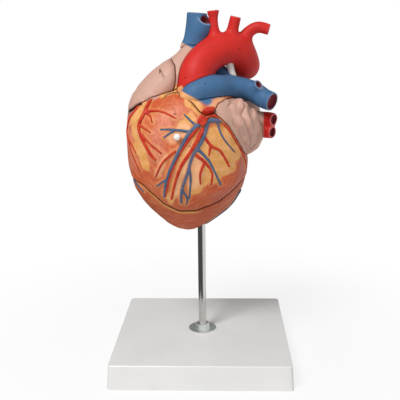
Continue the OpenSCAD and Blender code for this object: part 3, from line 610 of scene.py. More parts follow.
# Right atrium and left atrium, to tell them from the ventricles when painting
RIGHT_ATRIUM = [
    (-62, 4, 101, 7), (-58, 4, 114, 17.5), (-50, 3, 129, 22), (-38, 3, 144, 21.5), (-24, 4, 157, 20),
    (-14, 6, 169, 15), (-8.5, 9.5, 180, 12), (-7, 10, 187, 10.6),
]
LEFT_ATRIUM = [((28, 22, 111), (36, 30, 33)), ((2, 32, 114), (26, 20, 24)), ((46, 12, 100), (19, 20, 23))]
# The left atrium's roof is thin in the CAD: these rods under it keep the softened skin whole
ROOF_ROD_RADIUS = 2.6
ROOF_RODS = [
    [(10, 28, 136), (16, 28, 138), (22, 28, 140.4), (34, 28, 140.4)],
    [(10, 32, 134.4), (16, 32, 136.8), (22, 32, 138.4), (34, 32, 138.4)],
    [(10, 36, 133.4), (16, 36, 134.8), (22, 36, 136.4), (34, 36, 136.4)],
    [(10, 40, 131.4), (16, 40, 131.5), (22, 40, 134.4), (34, 40, 134.4)],
    [(4, 43.9, 130), (10, 42.4, 130), (16, 41.4, 130), (22, 42.9, 130), (36, 42.4, 130)],
    [(4, 45.9, 126), (10, 44.4, 126), (16, 43.4, 126), (22, 45.4, 126), (36, 45.2, 126)],
]
AURICLE_LOBES = [
    (28, -24, 124, 10.5), (39, -19, 123.5, 11), (48, -10, 116, 11.5), (24, -28, 120, 8),
    (34, -27, 115, 10), (43, -20, 112, 11), (51, -9, 109, 10), (35, -25, 104, 7.5), (42, -20, 98, 8),
    (47, -10, 95, 8), (44, -14, 89, 5),
]
# The auricle's folds fan out from this place x, z
FOLD_ROOT = (52, 66)
# Valve seats: centre, flow, radius, reach upstream and downstream
SEATS = [
    ((-50, 4, 112), (1, 1, -13), 10.5, 11, 11), ((20, 12, 106), (-2, -13, -8), 9.5, 11, 11),
    ((-12, -27, 123.5), (4, 1, 11), 8.5, 11, 7), ((1, -9, 121), (-7, -6, 18), 8.5, 11, 7),
]

# Coronary vessels: radius at the start and the end, then places x, z in the front view
ARTERIES_IN_FRONT = [
    (2.6, 1.8, (-46, 138), (-50, 127), (-56, 114), (-54, 104), (-46, 89), (-41, 83)),
    (1.8, 1.2, (-50, 126), (-36, 127), (-21, 121)),
    (1.6, 1.0, (-49, 125), (-45, 122), (-43, 117)),
    (1.6, 1.0, (-55, 114), (-50, 111), (-45, 108)),
    (1.6, 1.1, (-53, 105), (-46, 98), (-35, 89)),
    (2.0, 1.2, (-55, 134), (-66, 119), (-70, 106), (-67, 99), (-60, 88)),
    (1.5, 1.0, (-69, 103), (-64, 85), (-57, 70)),
    (3.0, 1.6, (6, 122), (-6, 107), (-19, 88), (-27, 69), (-33, 46)),
    (2.6, 1.4, (4, 111), (-6, 93), (-16, 78), (-22, 63), (-27, 43)),
    (1.6, 1.1, (-22, 91), (-34, 80), (-41, 66)),
    (2.0, 1.4, (3, 108), (11, 96), (20, 90), (28, 75)),
    (1.6, 1.1, (11, 96), (9, 86)),
    (2.2, 1.3, (-3, 88), (6, 80), (12, 70), (11, 58)),
    (1.8, 1.1, (4, 78), (1, 69), (1, 59)),
    (2.4, 1.3, (18, 121), (24, 114.5), (31, 104), (37, 93), (42, 82), (45, 70)),
    (5.6, 4.2, (3, 118), (7, 123.5), (12, 124.5), (18, 120)),
]
VEINS_IN_FRONT = [
    (3.0, 1.6, (22, 118), (7, 118), (-8, 108), (-22, 84), (-31, 62), (-34, 46)),
    (2.4, 1.4, (8, 117), (4, 103), (-6, 86), (-11, 70), (-17, 52), (-18, 39)),
    (2.0, 1.3, (0, 92), (10, 80), (20, 57)),
    (1.5, 1.1, (-9, 76), (-8, 64), (-10, 44)),
    (1.5, 1.0, (-16, 52), (-12, 44), (-13, 37)),
    (1.8, 1.1, (-8, 109), (-23, 111), (-35, 111)),
    (1.5, 1.1, (-23, 110), (-32, 104)),
    (1.6, 1.0, (-3, 115), (-13, 124)),
    (1.5, 1.0, (17, 116), (22, 103), (33, 88)),
    (1.5, 1.0, (-32, 63), (-41, 56)),
]
ARTERIES_BEHIND = [
    (2.4, 1.8, (-72, 100), (-62, 84), (-40, 90), (-16, 84)),
    (2.2, 1.2, (-16, 84), (-14, 60), (-15, 30)),
    (1.6, 1.0, (-15, 70), (-34, 56), (-42, 40)),
    (2.0, 1.2, (46, 70), (32, 66), (14, 44)),
    (1.6, 1.0, (-50, 87), (-56, 66), (-50, 48)),
]
VEINS_BEHIND = [
    (4.5, 3.0, (40, 74), (16, 76), (-12, 78), (-30, 84)),
    (2.6, 1.4, (-8, 77), (-7, 52), (-12, 22)),
    (2.0, 1.2, (24, 75), (24, 54), (8, 26)),
    (2.2, 1.4, (-71, 62), (-56, 42), (-46, 28)),
    (2.2, 1.2, (38, 41), (30, 30), (10, 13)),
]
# The root of the left artery, on the fixed moulding above the removable wall
ARTERIES_ABOVE = [(5.2, 4.2, (4, 122), (8.7, 126.5), (14, 126.5), (20, 121.5))]
# Veins in front, below the removable wall
VEINS_BELOW = [
    (2.2, 1.4, (-66.5, 61), (-62, 55), (-55, 48.5)),
    (2.2, 1.5, (39, 46), (29, 30), (16, 18), (5, 10)),
]

# Brush strokes of the front view: half their width, then places x, z
FAT_STROKES = [
    (5, (-54, 131), (-60, 117), (-58.5, 102), (-55, 88), (-52, 76)),
    (3.5, (-36, 142), (-27, 146), (-17, 147.5)),
    (5.5, (-9, 138), (-1, 131)), (4.5, (-7, 121), (-15, 113)),
    (4, (-4, 100), (-14, 80), (-23, 58), (-29, 42)),
    (10, (14, 103), (26, 99), (28, 86)), (9, (26, 75), (14, 68)),
    (8, (5, 92), (3, 66), (-3, 56)), (6, (14, 88), (12, 76)),
]
PINK_STROKES = [
    (7, (-30, 120), (-40, 104), (-39, 86)), (8, (-20, 128), (-26, 122)),
    (4, (-66, 119), (-68, 96), (-65, 73)),
]
ROSE_STROKES = [(9, (44, 92), (47, 73), (43, 54)), (7, (34, 49), (16, 40))]
PALE_STROKES = [
    (3, (-4, 96), (-13, 77), (-24, 48)), (6, (-2, 84), (-3, 70), (-5, 60)), (5, (-12, 112), (-24, 102)),
    (3, (-31, 84), (-39, 68)), (4, (12, 133), (22, 137)),
]
ORANGE_STROKES = [(9, (-38, 133), (-26, 136), (-16, 131)), (6, (-44, 64), (-34, 52)), (6, (12, 52), (30, 60))]
LIP_STROKES = [(7, (-62, 67), (-50, 58), (-40, 48), (-29, 37), (-21, 32), (-10, 29))]
# Painted shadow in the gap under the right atrium wall
GAP_SHADOW_STROKES = [(5, (-70, 124), (-59, 130))]
# The blue foot of the pulmonary trunk on the flesh, and the fat that climbs over both trunks
TRUNK_STROKES = [
    (4, (-8, 145), (3, 142)), (4.5, (-1, 141.5), (5, 138.5)), (4.5, (4.5, 141.5), (8, 136.8)),
    (4.5, (6, 142), (12, 141.5)), (5, (11, 142.5), (26, 146)),
]
FOOT_STROKES = [(1.8, (-20, 146), (-17, 147.8)), (3, (-18, 142.5), (-8, 137.5), (-1, 134))]
# A thin line of painted shade in the groove where the muscle's upper edge meets the flesh: no width of its
# own
LINE_STROKES = [
    (0, (-34.5, 138.4), (-30.7, 141.6), (-25.9, 143), (-19.4, 143), (-14.7, 141.4), (-9, 136.5)),
]
# Seams whose gaps get the strongest painted shade, as dark lines; elsewhere the paint runs across them
SHADED_SEAMS = [
    (7, (-13, 141), (0, 127), (6, 122)), (6, (-62, 66), (-40, 46), (-21, 31), (-4, 29), (16, 38)),
]
# The vein's blue paint ends on a slant: two places x, z of its lower edge
CAVA_EDGE = ((-17.8, 190.3), (-5.9, 184.1))
# The left lung veins' red paint starts here, in x
LUNG_VEIN_EDGE = 63.5
# Small dark marks of the mould: x, z
MOULD_MARKS = [(39, 183), (-13, 157), (6, 152), (-8, 96), (6, 123), (-22, 125)]


def all_vessels():
    """The slot and the tubes of each great vessel. The last end of a tube is cut open."""
    return {
        "aorta_arch": ("artery_red", [AORTA, *ARCH_BRANCHES]),
        "pulmonary_trunk": ("vein_blue", [PULMONARY, PULMONARY_UPPER, PULMONARY_RIGHT]),
        "superior_vena_cava": ("vein_blue", [CAVA, CAVA_SIDE]),
        "inferior_vena_cava": ("vein_blue", [LOWER_CAVA]),
        "left_pulmonary_veins": ("artery_red", LEFT_VEINS),
        "right_pulmonary_veins": ("artery_red", RIGHT_VEINS),
    }


# ------------------------------------------------------------------ the sculpted heart

# The block that the skin is made in, from the heart's foot, and how far its distances reach
BLOCK_LOW, BLOCK_HIGH = np.array((-84, -68, -8)), np.array((82, 64, 229))
BAND = 7.5
FORK_BLEND, ROOT_BLEND = 4.0, 1.0
TUBE_SPACING = 0.8
# The right atrium is deeper than wide, and a lobe of the auricle is taller than wide
RIGHT_ATRIUM_DEPTH, LOBE_HEIGHT = 1.35, 1.15
# Seams are told from other places up to this far; the skin is lifted only this near it
SEAM_REACH, LIFT_REACH = 12, 3.0
# Draping a coronary vessel: passes that even out its depth, passes that put it on the skin
DEPTH_SMOOTHINGS, SETTLINGS = 6, 2
RELIEF_SPACING = 0.6
# The heart is searched for its skin from this far in front or behind; past its outline, this depth is taken
HALF_DEPTH, OFF_SKIN = 66, 4


class Sculpture:
    """The whole heart as one skin in a block, and which moulding owns each place."""

    flesh = {
        "heart_body": (
            ["right_ventricle_body", "left_ventricle_body", "right_atrium_body", "left_atrium_body"],
            "heart", "muscle"),
        "front_wall": (["front_wall"], "front_cover", "muscle"),
        "right_atrium_wall": (["right_atrium_wall"], "right_cover", "atrium"),
        "left_atrium_wall": (["left_atrium_wall"], "left_cover", "atrium"),
    }

    def __init__(self, shape):
        self.shape = shape
        step = shape.step * 1.0
        lift = np.array((0, 0, HEART_Z))
        self.block = block = Block(BLOCK_LOW + lift, BLOCK_HIGH + lift, step, BAND)
        self.own = {name: block.of_node(*nodes) for name, (nodes, _, _) in self.flesh.items()}
        flesh = block.empty()
        for field in self.own.values():
            np.minimum(flesh, field, out=flesh)
        for rod in ROOF_RODS:
            block.add_balls(flesh, curve_through(in_place([(*place, ROOF_ROD_RADIUS) for place in rod])))
        tubes = block.empty()
        for name, (_, routes) in all_vessels().items():
            field = block.empty()
            for route in routes:
                one = block.add_tube(block.empty(), in_place(route), max(TUBE_SPACING, step))
                field = smooth_min(field, one, FORK_BLEND)
            self.own[name] = field
            tubes = np.minimum(tubes, field)
        self.skin = block.blurred(np.minimum(flesh, tubes), shape.softness)
        self.skin = smooth_min(self.skin, tubes, ROOT_BLEND)
        self.settle_owners()
        self.rough, self.hollow = block.enclosed(self.skin)
        self.atria = block.empty()
        block.add_balls(self.atria, curve_through(in_place(RIGHT_ATRIUM), 2.0), squash=RIGHT_ATRIUM_DEPTH)
        for centre, radii in LEFT_ATRIUM:
            block.add_egg(self.atria, centre + lift, radii)
        self.lobes = block.empty()
        for x, y, z, r in AURICLE_LOBES:
            block.add_egg(self.lobes, (x, y, z + HEART_Z), (r, r, r * LOBE_HEIGHT))
        self.routes = {}

    def settle_owners(self):
        """The nearest and the second nearest moulding at each place."""
        self.first = np.full(self.block.count, FAR, np.float32)
        self.second = self.first.copy()
        for field in self.own.values():
            np.minimum(self.second, np.maximum(self.first, field), out=self.second)
            np.minimum(self.first, field, out=self.first)

    def border(self, name):
        """Distance past the seam of one moulding, negative on its own side."""
        field = self.own[name]
        other = np.where(field <= self.first, self.second, self.first)
        return (field - other) / 2

    def from_seam(self, name, points):
        """How far inside a moulding's own seam each point lies."""
        return np.clip(-self.block.sample(self.border(name), points), 0, SEAM_REACH)

    def lifted(self, points, height):
        """Points moved off the skin by a height that dies away from it."""
        share = np.exp(-((self.block.sample(self.skin, points) / LIFT_REACH) ** 2))
        return points + self.block.slope(self.skin, points) * (height * share)[:, None]

    def valve_passages(self, field):
        """Opens the way through each valve seat."""
        for centre, flow, radius, before, after in SEATS:
            centre, out = np.add(centre, (0, 0, HEART_Z)), unit(flow)
            self.block.cut_bar(field, centre - before * out, centre + after * out, radius)
        return field

    def drape(self, routes, side):
        """Curves on the skin from places in the front view; side is -1 in front, 1 behind."""
        curves = []
        for start, end, *places in routes:
            flat = curve_through([(x, 0.0, z + HEART_Z, 0) for x, z in places], 1.0)
            radius = np.interp(np.linspace(0, 1, len(flat)), [0, 1], [start, end])
            flat[:, 3] = radius * self.shape.relief_share
            flat[:, 1] = self.skin_depth(flat[:, 0], flat[:, 2], side)
            for _ in range(DEPTH_SMOOTHINGS):
                flat[1:-1, 1] = (flat[:-2, 1] + 2 * flat[1:-1, 1] + flat[2:, 1]) / 4
            for _ in range(SETTLINGS):
                gap = self.block.sample(self.skin, flat[:, :3])
                flat[:, :3] -= self.block.slope(self.skin, flat[:, :3]) * gap[:, None]
            curves.append(curve_through(flat, RELIEF_SPACING))
        return curves

    def skin_depth(self, x, z, side):
        """Y of the skin seen from the front or from behind."""
        y = side * np.arange(HALF_DEPTH, 0, -0.5)
        found = np.zeros(len(x))
        for i, (a, b) in enumerate(zip(x, z)):
            line = self.block.sample(self.skin, np.stack(np.broadcast_arrays(a, y, b), axis=1))
            inside = np.nonzero(line < 0)[0]
            found[i] = y[inside[0]] if len(inside) else side * OFF_SKIN
        return found


sculpture = None


def the_sculpture():
    """Made once, by the first operator that needs it."""
    global sculpture
    if sculpture is None:
        sculpture = Sculpture(bpy.context.scene.heart_shape)
    return sculpture


# ------------------------------------------------------------------ what is painted where

# Paint of the front view fades round the side between these places, in millimetres in front of the rod
SIDE_FADE = (-4.0, 8.0)
# The blue paint of the upper great vein starts no lower than this, with an edge this soft
CAVA_EDGE_LOWEST, CAVA_EDGE_SOFT = 180, 0.8
LUNG_VEIN_SOFT = 0.6
# How far outside its chamber's wall a lining still reaches
LINING_REACH = 2.2
# Behind, the atria's paint starts between these heights
ATRIA_BEHIND = (84, 89)
# The auricle's paint and folds end between these places x
AURICLE_END = (47, 56)
# Degrees between the auricle's folds, and their height
FOLD_ANGLE, FOLD_HEIGHT = 8.6, 3.2
# The skin swells beside a relief vessel by this height, over this distance
BED_HEIGHT, BED_REACH = 0.55, 2.6


def stroke_distance(strokes, points, wobble=0.0):
    """How far outside the strokes of the front view each point is, in millimetres."""
    flat = points[:, (0, 2)] - (0.0, HEART_Z) + wobble
    best = np.full(len(points), FAR)
    for width, *places in strokes:
        for a, b in zip(places, places[1:]):
            start, along = np.array(a, float), np.subtract(b, a).astype(float)
            share = np.clip((flat - start) @ along / (along @ along), 0, 1)
            away = np.linalg.norm(flat - start - share[:, None] * along, axis=1)
            best = np.minimum(best, away - width)
    return best


def painted(strokes, points, wobble=0.0, soft=1.6):
    """1 inside the strokes, fading at their edges and round the side."""
    distance = stroke_distance(strokes, points, wobble)
    return (1 - ease(distance, -soft, soft)) * ease(-points[:, 1], *SIDE_FADE)


def blue_share(points):
    """1 above the slanting edge of the upper great vein's paint."""
    (x0, z0), (x1, z1) = CAVA_EDGE
    edge = np.maximum(z0 + (points[:, 0] - x0) * (z1 - z0) / (x1 - x0), CAVA_EDGE_LOWEST)
    return ease(points[:, 2] - HEART_Z - edge, -CAVA_EDGE_SOFT, CAVA_EDGE_SOFT)


def brush_wobble(points):
    """Pushes the edges of brush strokes about, coarsely and then finely."""
    coarse = np.stack([Noise(31)(points, 9.0), Noise(32)(points, 9.0)], axis=1)
    fine = np.stack([Noise(33)(points, 3.5), Noise(34)(points, 3.5)], axis=1)
    return coarse * 2.2 + fine * 0.9


def painted_seam_shade(name, points, edge, line):
    """Painted shade: darker along the seams, a painted shadow in the gap under the right atrium wall and a
    shaded line at the muscle's upper edge.
    """
    seams = (1 - ease(edge, 0.3, 1.1)) * (0.12 + 0.5 * painted(SHADED_SEAMS, points))
    gap = (1 - ease(edge, 0.8, 2.0)) * painted(GAP_SHADOW_STROKES, points) * 1.3
    upper = (1 - ease(line, 0.35, 1.0)) * (name == "front_wall")
    return np.maximum(np.maximum(seams, gap), upper)


def skin_masks(work, points, name):
    """What is painted where: linings, cut faces, folds, the atria, fat, muscle and the painted shade at the
    seams.
    """
    block = work.block
    cut = ease(-block.sample(work.skin, points), 0.5, 1.1)
    outside = points + block.slope(work.skin, points) * LINING_REACH
    lining = ease(work.rough.sample(work.hollow, outside), 0.04, 0.2)
    outer = (1 - cut) * (1 - lining)
    wobble = brush_wobble(points)
    edge = work.from_seam(name, points)
    line = np.abs(stroke_distance(LINE_STROKES, points)) * (1.0 + 10 * (points[:, 1] > 0))
    body = float(name == "heart_body")
    behind = ease(points[:, 1], 2, 10) * ease(points[:, 2] - HEART_Z, *ATRIA_BEHIND)
    lobes = ease(-block.sample(work.lobes, points), -2.0, 0.5)
    return {
        "lining": np.maximum(lining, cut * 0.8),
        "cut": cut,
        "atrial": np.maximum(ease(-block.sample(work.atria, points), -2.5, 0.5), behind),
        "auricle": lobes * (1 - ease(points[:, 0], *AURICLE_END)),
        "fat": painted(FAT_STROKES, points, wobble, 1.2) * (name != "right_atrium_wall") * outer,
        "pink": painted(PINK_STROKES, points, wobble, 5.0),
        "rose": painted(ROSE_STROKES, points, wobble, 4.0),
        "pale": painted(PALE_STROKES, points, wobble, 2.5) * outer,
        "orange": painted(ORANGE_STROKES, points, wobble, 4.0),
        "lip": painted(LIP_STROKES, points) * body * outer,
        "blue": np.maximum(painted(TRUNK_STROKES, points), blue_share(points)) * body * outer,
        "edge": edge,
        # Painted shade of the seams, the gap under the right atrium wall and the groove
        "dark": painted_seam_shade(name, points, edge, line),
        "line": 1 - ease(line, 0.2, 1.3),
    }


def auricle_folds(points, soft, fine):
    """Rounded folds with sharp furrows that fan out from the auricle's tip."""
    x, z = points[:, 0] - FOLD_ROOT[0], points[:, 2] - HEART_Z - FOLD_ROOT[1]
    angle = np.degrees(np.arctan2(x, z)) + 4.5 * soft(points, 12.0) + 2.0 * fine(points, 7.0)
    furrow = np.abs(np.sin(np.pi * angle / FOLD_ANGLE)) ** 0.75
    return FOLD_HEIGHT * (furrow - 0.64) + 1.8 * soft(points + 30, 10.0) + 0.6 * fine(points, 5.0)


def ripples(work, points, masks):
    """How far the skin rises at each point, in millimetres."""
    soft, fine = Noise(11), Noise(12)
    height = 0.28 * soft(points, 14.0) + 0.12 * fine(points, 5.0)
    warp = np.stack([soft(points + 50, 11.0), soft(points - 40, 11.0), soft(points + 90, 11.0)], axis=1) * 3.0
    height += masks["auricle"] * auricle_folds(points, soft, fine)
    for field in work.routes.values():
        away = np.maximum(work.block.sample(field, points), 0)
        height += BED_HEIGHT * np.exp(-(away / BED_REACH) ** 2) * (1 - masks["cut"])
    height += masks["lip"] * 0.5 * np.exp(-(masks["edge"] - 1.0) ** 2)
    height -= masks["line"] * 0.9 * (masks["edge"] > 1.5)
    strings = np.abs(fine(points * (1.0, 1.0, 0.35) + warp, 5.0))
    return height * (1 - masks["lining"]) + masks["lining"] * 1.3 * (0.35 - strings)


def sculpt_piece(work, name, field, body, slot, material, replaced):
    points, quads = work.block.surface(field)
    masks = skin_masks(work, points, name)
    points = work.lifted(points, ripples(work, points, masks))
    # These two shape the skin only
    del masks["cut"], masks["line"]
    for kind, routes in work.routes.items():
        masks[kind] = np.clip(work.block.sample(routes, points), -3, 20)
    mesh_piece(name + "_skin", points, quads, body, slot, material, replaced, masks)


# ------------------------------------------------------------------ the heart's pieces

# How far edges are rounded: of a wall and a vessel at their seams, of a vessel's mouth, of the ligament
WALL_EDGE, VESSEL_EDGE, MOUTH_EDGE, LIGAMENT_EDGE = 0.9, 0.15, 0.6, 0.6
VESSEL_GAP = 0.02
# The liner's bore runs on below it, out of the heart's tip
LINER_CLEARANCE, LINER_BORE_BELOW = 0.1, 30
# The bore for the knob's stem
KNOB_BORE_RADIUS, KNOB_BORE_REACH = 2.1, 4
# Where no coronary vessel is near, one counts as this far beyond the block's reach
ROUTE_FAR = 12
# The fine blocks of the relief vessels: front and rear, from the heart's foot
FRONT_RELIEF = (-78, -66, 25), (52, 2, 149)
REAR_RELIEF = (-80, -60, 5), (52, 58, 145)
# The reach of their distances, and of the owner's seam in them
RELIEF_BAND, RELIEF_SEAM_REACH = 3.0, 8
# How far a coronary vessel's middle stands off the skin, as a share of its radius
RELIEF_LIFT, LOW_LIFT = 0.42, 0.05
# How deep coronary vessels are set in, how far they stop short of the wall's edge and arteries of veins
RELIEF_DEPTH, RELIEF_MARGIN, CROSSING_GAP = 1.2, 0.15, 0.2


class HEART_OT_walls(bpy.types.Operator):
    """Models the heart's rear moulding and its three removable walls"""

    bl_idname = "heart.walls"
    bl_label = "Heart walls"

    def execute(self, context):
        work = the_sculpture()
        half = context.scene.heart_shape.seam / 2
        materials = {"muscle": muscle_paint(), "atrium": atrium_paint()}
        draped = (
            ("arteries", ARTERIES_IN_FRONT, -1), ("veins", VEINS_IN_FRONT + VEINS_BELOW, -1),
            ("arteries", ARTERIES_BEHIND, 1), ("veins", VEINS_BEHIND, 1),
        )
        for kind, routes, side in draped:
            field = work.routes.setdefault(kind, work.block.empty() + ROUTE_FAR)
            for curve in work.drape(routes, side):
                work.block.add_balls(field, curve[::2])
        for name, (nodes, body, slot) in work.flesh.items():
            field = smooth_max(work.skin, work.border(name) + half, WALL_EDGE)
            field = work.valve_passages(field)
            cut_fittings(work.block, name, field)
            sculpt_piece(work, name, field, body, slot, materials[slot], nodes)
        return {"FINISHED"}


def cut_fittings(block, name, field):
    """Bores for the rod's liner and for the knob's stem."""
    if name == "heart_body":
        low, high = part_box("rod_liner")
        radius = (high.x - low.x) / 2 / MM + LINER_CLEARANCE
        block.cut_bar(field, (0, 0, low.z / MM - LINER_BORE_BELOW), (0, 0, high.z / MM), radius)
    if name == "front_wall":
        low, high = (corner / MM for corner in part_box("pull_knob"))
        x, z = (low.x + high.x) / 2, (low.z + high.z) / 2
        block.cut_bar(field, (x, low.y - KNOB_BORE_REACH, z), (x, high.y, z), KNOB_BORE_RADIUS)


class HEART_OT_vessels(bpy.types.Operator):
    """Models the great vessels with their cut ends"""

    bl_idname = "heart.vessels"
    bl_label = "Great vessels"

    def execute(self, context):
        work = the_sculpture()
        materials = {"artery_red": artery_paint(), "vein_blue": vein_paint()}
        for name, (slot, routes) in all_vessels().items():
            field = smooth_max(work.skin, work.border(name) + VESSEL_GAP, VESSEL_EDGE)
            lumen, ends = self.hollow_ends(work.block, field, routes, context.scene.heart_shape)
            field = work.valve_passages(field)
            points, quads = work.block.surface(field)
            masks = {
                "edge": work.from_seam(name, points),
                "flesh": self.flesh_share(name, points),
                "fat": painted(FOOT_STROKES, points, 0.0, 0.8),
                "lumen": ease(-work.block.sample(lumen, points), -0.9, 0.1),
                "rim": self.rims(points, ends),
            }
            points = work.lifted(points, 0.12 * Noise(21)(points, 13.0))
            mesh_piece(name + "_skin", points, quads, "heart", slot, materials[slot], [name], masks)
        self.add_ligament(work)
        return {"FINISHED"}

    @staticmethod
    def hollow_ends(block, field, routes, shape):
        """Sinks a hollow into each cut end. Returns a field of the hollows, and the ends."""
        lumen, ends = block.empty(), []
        for route in routes:
            curve = curve_through(in_place(route), TUBE_SPACING)
            tip, out = open_end(curve)
            outer, inner = curve[-1, 3], curve[-1, 3] - shape.rim
            block.cut_bar(field, tip - out * shape.end_depth, tip + out * 3, inner, MOUTH_EDGE)
            depths = np.arange(-1.0, shape.end_depth, 0.7)
            block.add_balls(lumen, [(*(tip - out * depth), inner) for depth in depths])
            ends.append((tip, out, outer))
        return lumen, ends

    @staticmethod
    def flesh_share(name, points):
        """1 where a vessel still carries the flesh paint of its atrium."""
        if name == "superior_vena_cava":
            return 1 - blue_share(points)
        if name == "left_pulmonary_veins":
            return 1 - ease(points[:, 0], LUNG_VEIN_EDGE - LUNG_VEIN_SOFT, LUNG_VEIN_EDGE + LUNG_VEIN_SOFT)
        return np.zeros(len(points))

    @staticmethod
    def rims(points, ends):
        """1 on the flat rims of the cut ends."""
        rim = np.zeros(len(points))
        for tip, out, radius in ends:
            offset = points - tip
            ahead = np.abs(offset @ out)
            near = np.linalg.norm(offset, axis=1) < radius + 1.5
            rim = np.maximum(rim, (1 - ease(ahead, 0.3, 0.9)) * near)
        return rim

    @staticmethod
    def add_ligament(work):
        block = work.block
        band = block.add_tube(block.empty(), in_place(LIGAMENT), cut_flat=False)
        for vessel in ("aorta_arch", "pulmonary_trunk"):
            band = smooth_max(band, -work.own[vessel], LIGAMENT_EDGE)
        points, quads = block.surface(band)
        name = "arterial_ligament"
        mesh_piece(name + "_skin", points, quads, "heart", "ligament", ligament_paint(), [name], {})


class HEART_OT_coronaries(bpy.types.Operator):
    """Models the coronary arteries and veins in relief on the front wall and behind"""

    bl_idname = "heart.coronaries"
    bl_label = "Coronary vessels"

    def execute(self, context):
        work = the_sculpture()
        paint = paints()
        materials = {
            "arteries": relief_paint("relief artery", paint.coronary_artery, paint.coronary_artery_orange),
            "veins": relief_paint("relief vein", paint.coronary_vein, paint.coronary_vein_purple),
        }
        jobs = (
            ("front", "front_wall", "front_cover", [(ARTERIES_IN_FRONT, -1)], [(VEINS_IN_FRONT, -1)],
             FRONT_RELIEF),
            ("rear", "heart_body", "heart", [(ARTERIES_BEHIND, 1), (ARTERIES_ABOVE, -1)],
             [(VEINS_BEHIND, 1), (VEINS_BELOW, -1)], REAR_RELIEF),
        )
        for place, owner, body, arteries, veins, corners in jobs:
            fine, edge, under = self.fine_block(work, owner, corners, context.scene.heart_shape)
            fields = {
                "arteries": self.vessels(work, fine, arteries),
                "veins": self.vessels(work, fine, veins),
            }
            fields["arteries"] = smooth_max(fields["arteries"], CROSSING_GAP - fields["veins"], 0.5)
            for kind, slot in (("arteries", "artery_red"), ("veins", "vein_blue")):
                field = smooth_max(smooth_max(fields[kind], edge, 0.6), -RELIEF_DEPTH - under, 0.4)
                points, quads = fine.surface(field)
                name = f"{place}_{kind}"
                # Painted shade at the foot of each vessel, where it meets the skin
                masks = {"foot": 1 - ease(fine.sample(under, points), 0.3, 1.5)}
                mesh_piece(name + "_relief", points, quads, body, slot, materials[kind], [name], masks)
        return {"FINISHED"}

    @staticmethod
    def fine_block(work, owner, corners, shape):
        """A finer block, with the owner's seam and the skin in it."""
        step = shape.relief_step * 1.0
        low, high = (np.add(corner, (0, 0, HEART_Z)) for corner in corners)
        fine = Block(low, high, step, RELIEF_BAND)
        border = np.clip(work.border(owner), -RELIEF_SEAM_REACH, RELIEF_SEAM_REACH)
        edge = work.block.moved_to(fine, border) + shape.seam / 2 + RELIEF_MARGIN
        return fine, edge, work.block.moved_to(fine, work.skin)

    @staticmethod
    def vessels(work, fine, layers):
        """The draped vessels of one kind, half sunk in the skin."""
        field = fine.empty()
        for routes, side in layers:
            lift = LOW_LIFT if routes is VEINS_BELOW else RELIEF_LIFT
            for curve in work.drape(routes, side):
                curve[:, :3] += work.block.slope(work.skin, curve[:, :3]) * (lift * curve[:, 3:])
                field = smooth_min(field, fine.add_balls(fine.empty(), curve), 1.2)
        return field


# ------------------------------------------------------------------ paints

# Centres x, z of the arcs in which the muscle's long fibres and short dashes run
FIBRE_CENTRE, DASH_CENTRE = (14, 150), (-22, 104)
# How dark the painted shade along the seams is
SEAM_DARKNESS, SEAM_SHADE = 0.75, 0.18


def paints():
    return bpy.context.scene.heart_paint


def shade(colour, share):
    """The same paint, darker."""
    return tuple(level * share for level in colour)


def tint(colour, share, white):
    """The same paint with white in it."""
    return tuple(share * level + white for level in colour)


def shade_seams(finish, colour, paint):
    """The painted shade of the seams and gaps over a colour."""
    share = (finish.mask("dark") * SEAM_DARKNESS).clamped()
    return finish.mix(share, colour, shade(paint.muscle_brown, SEAM_SHADE))


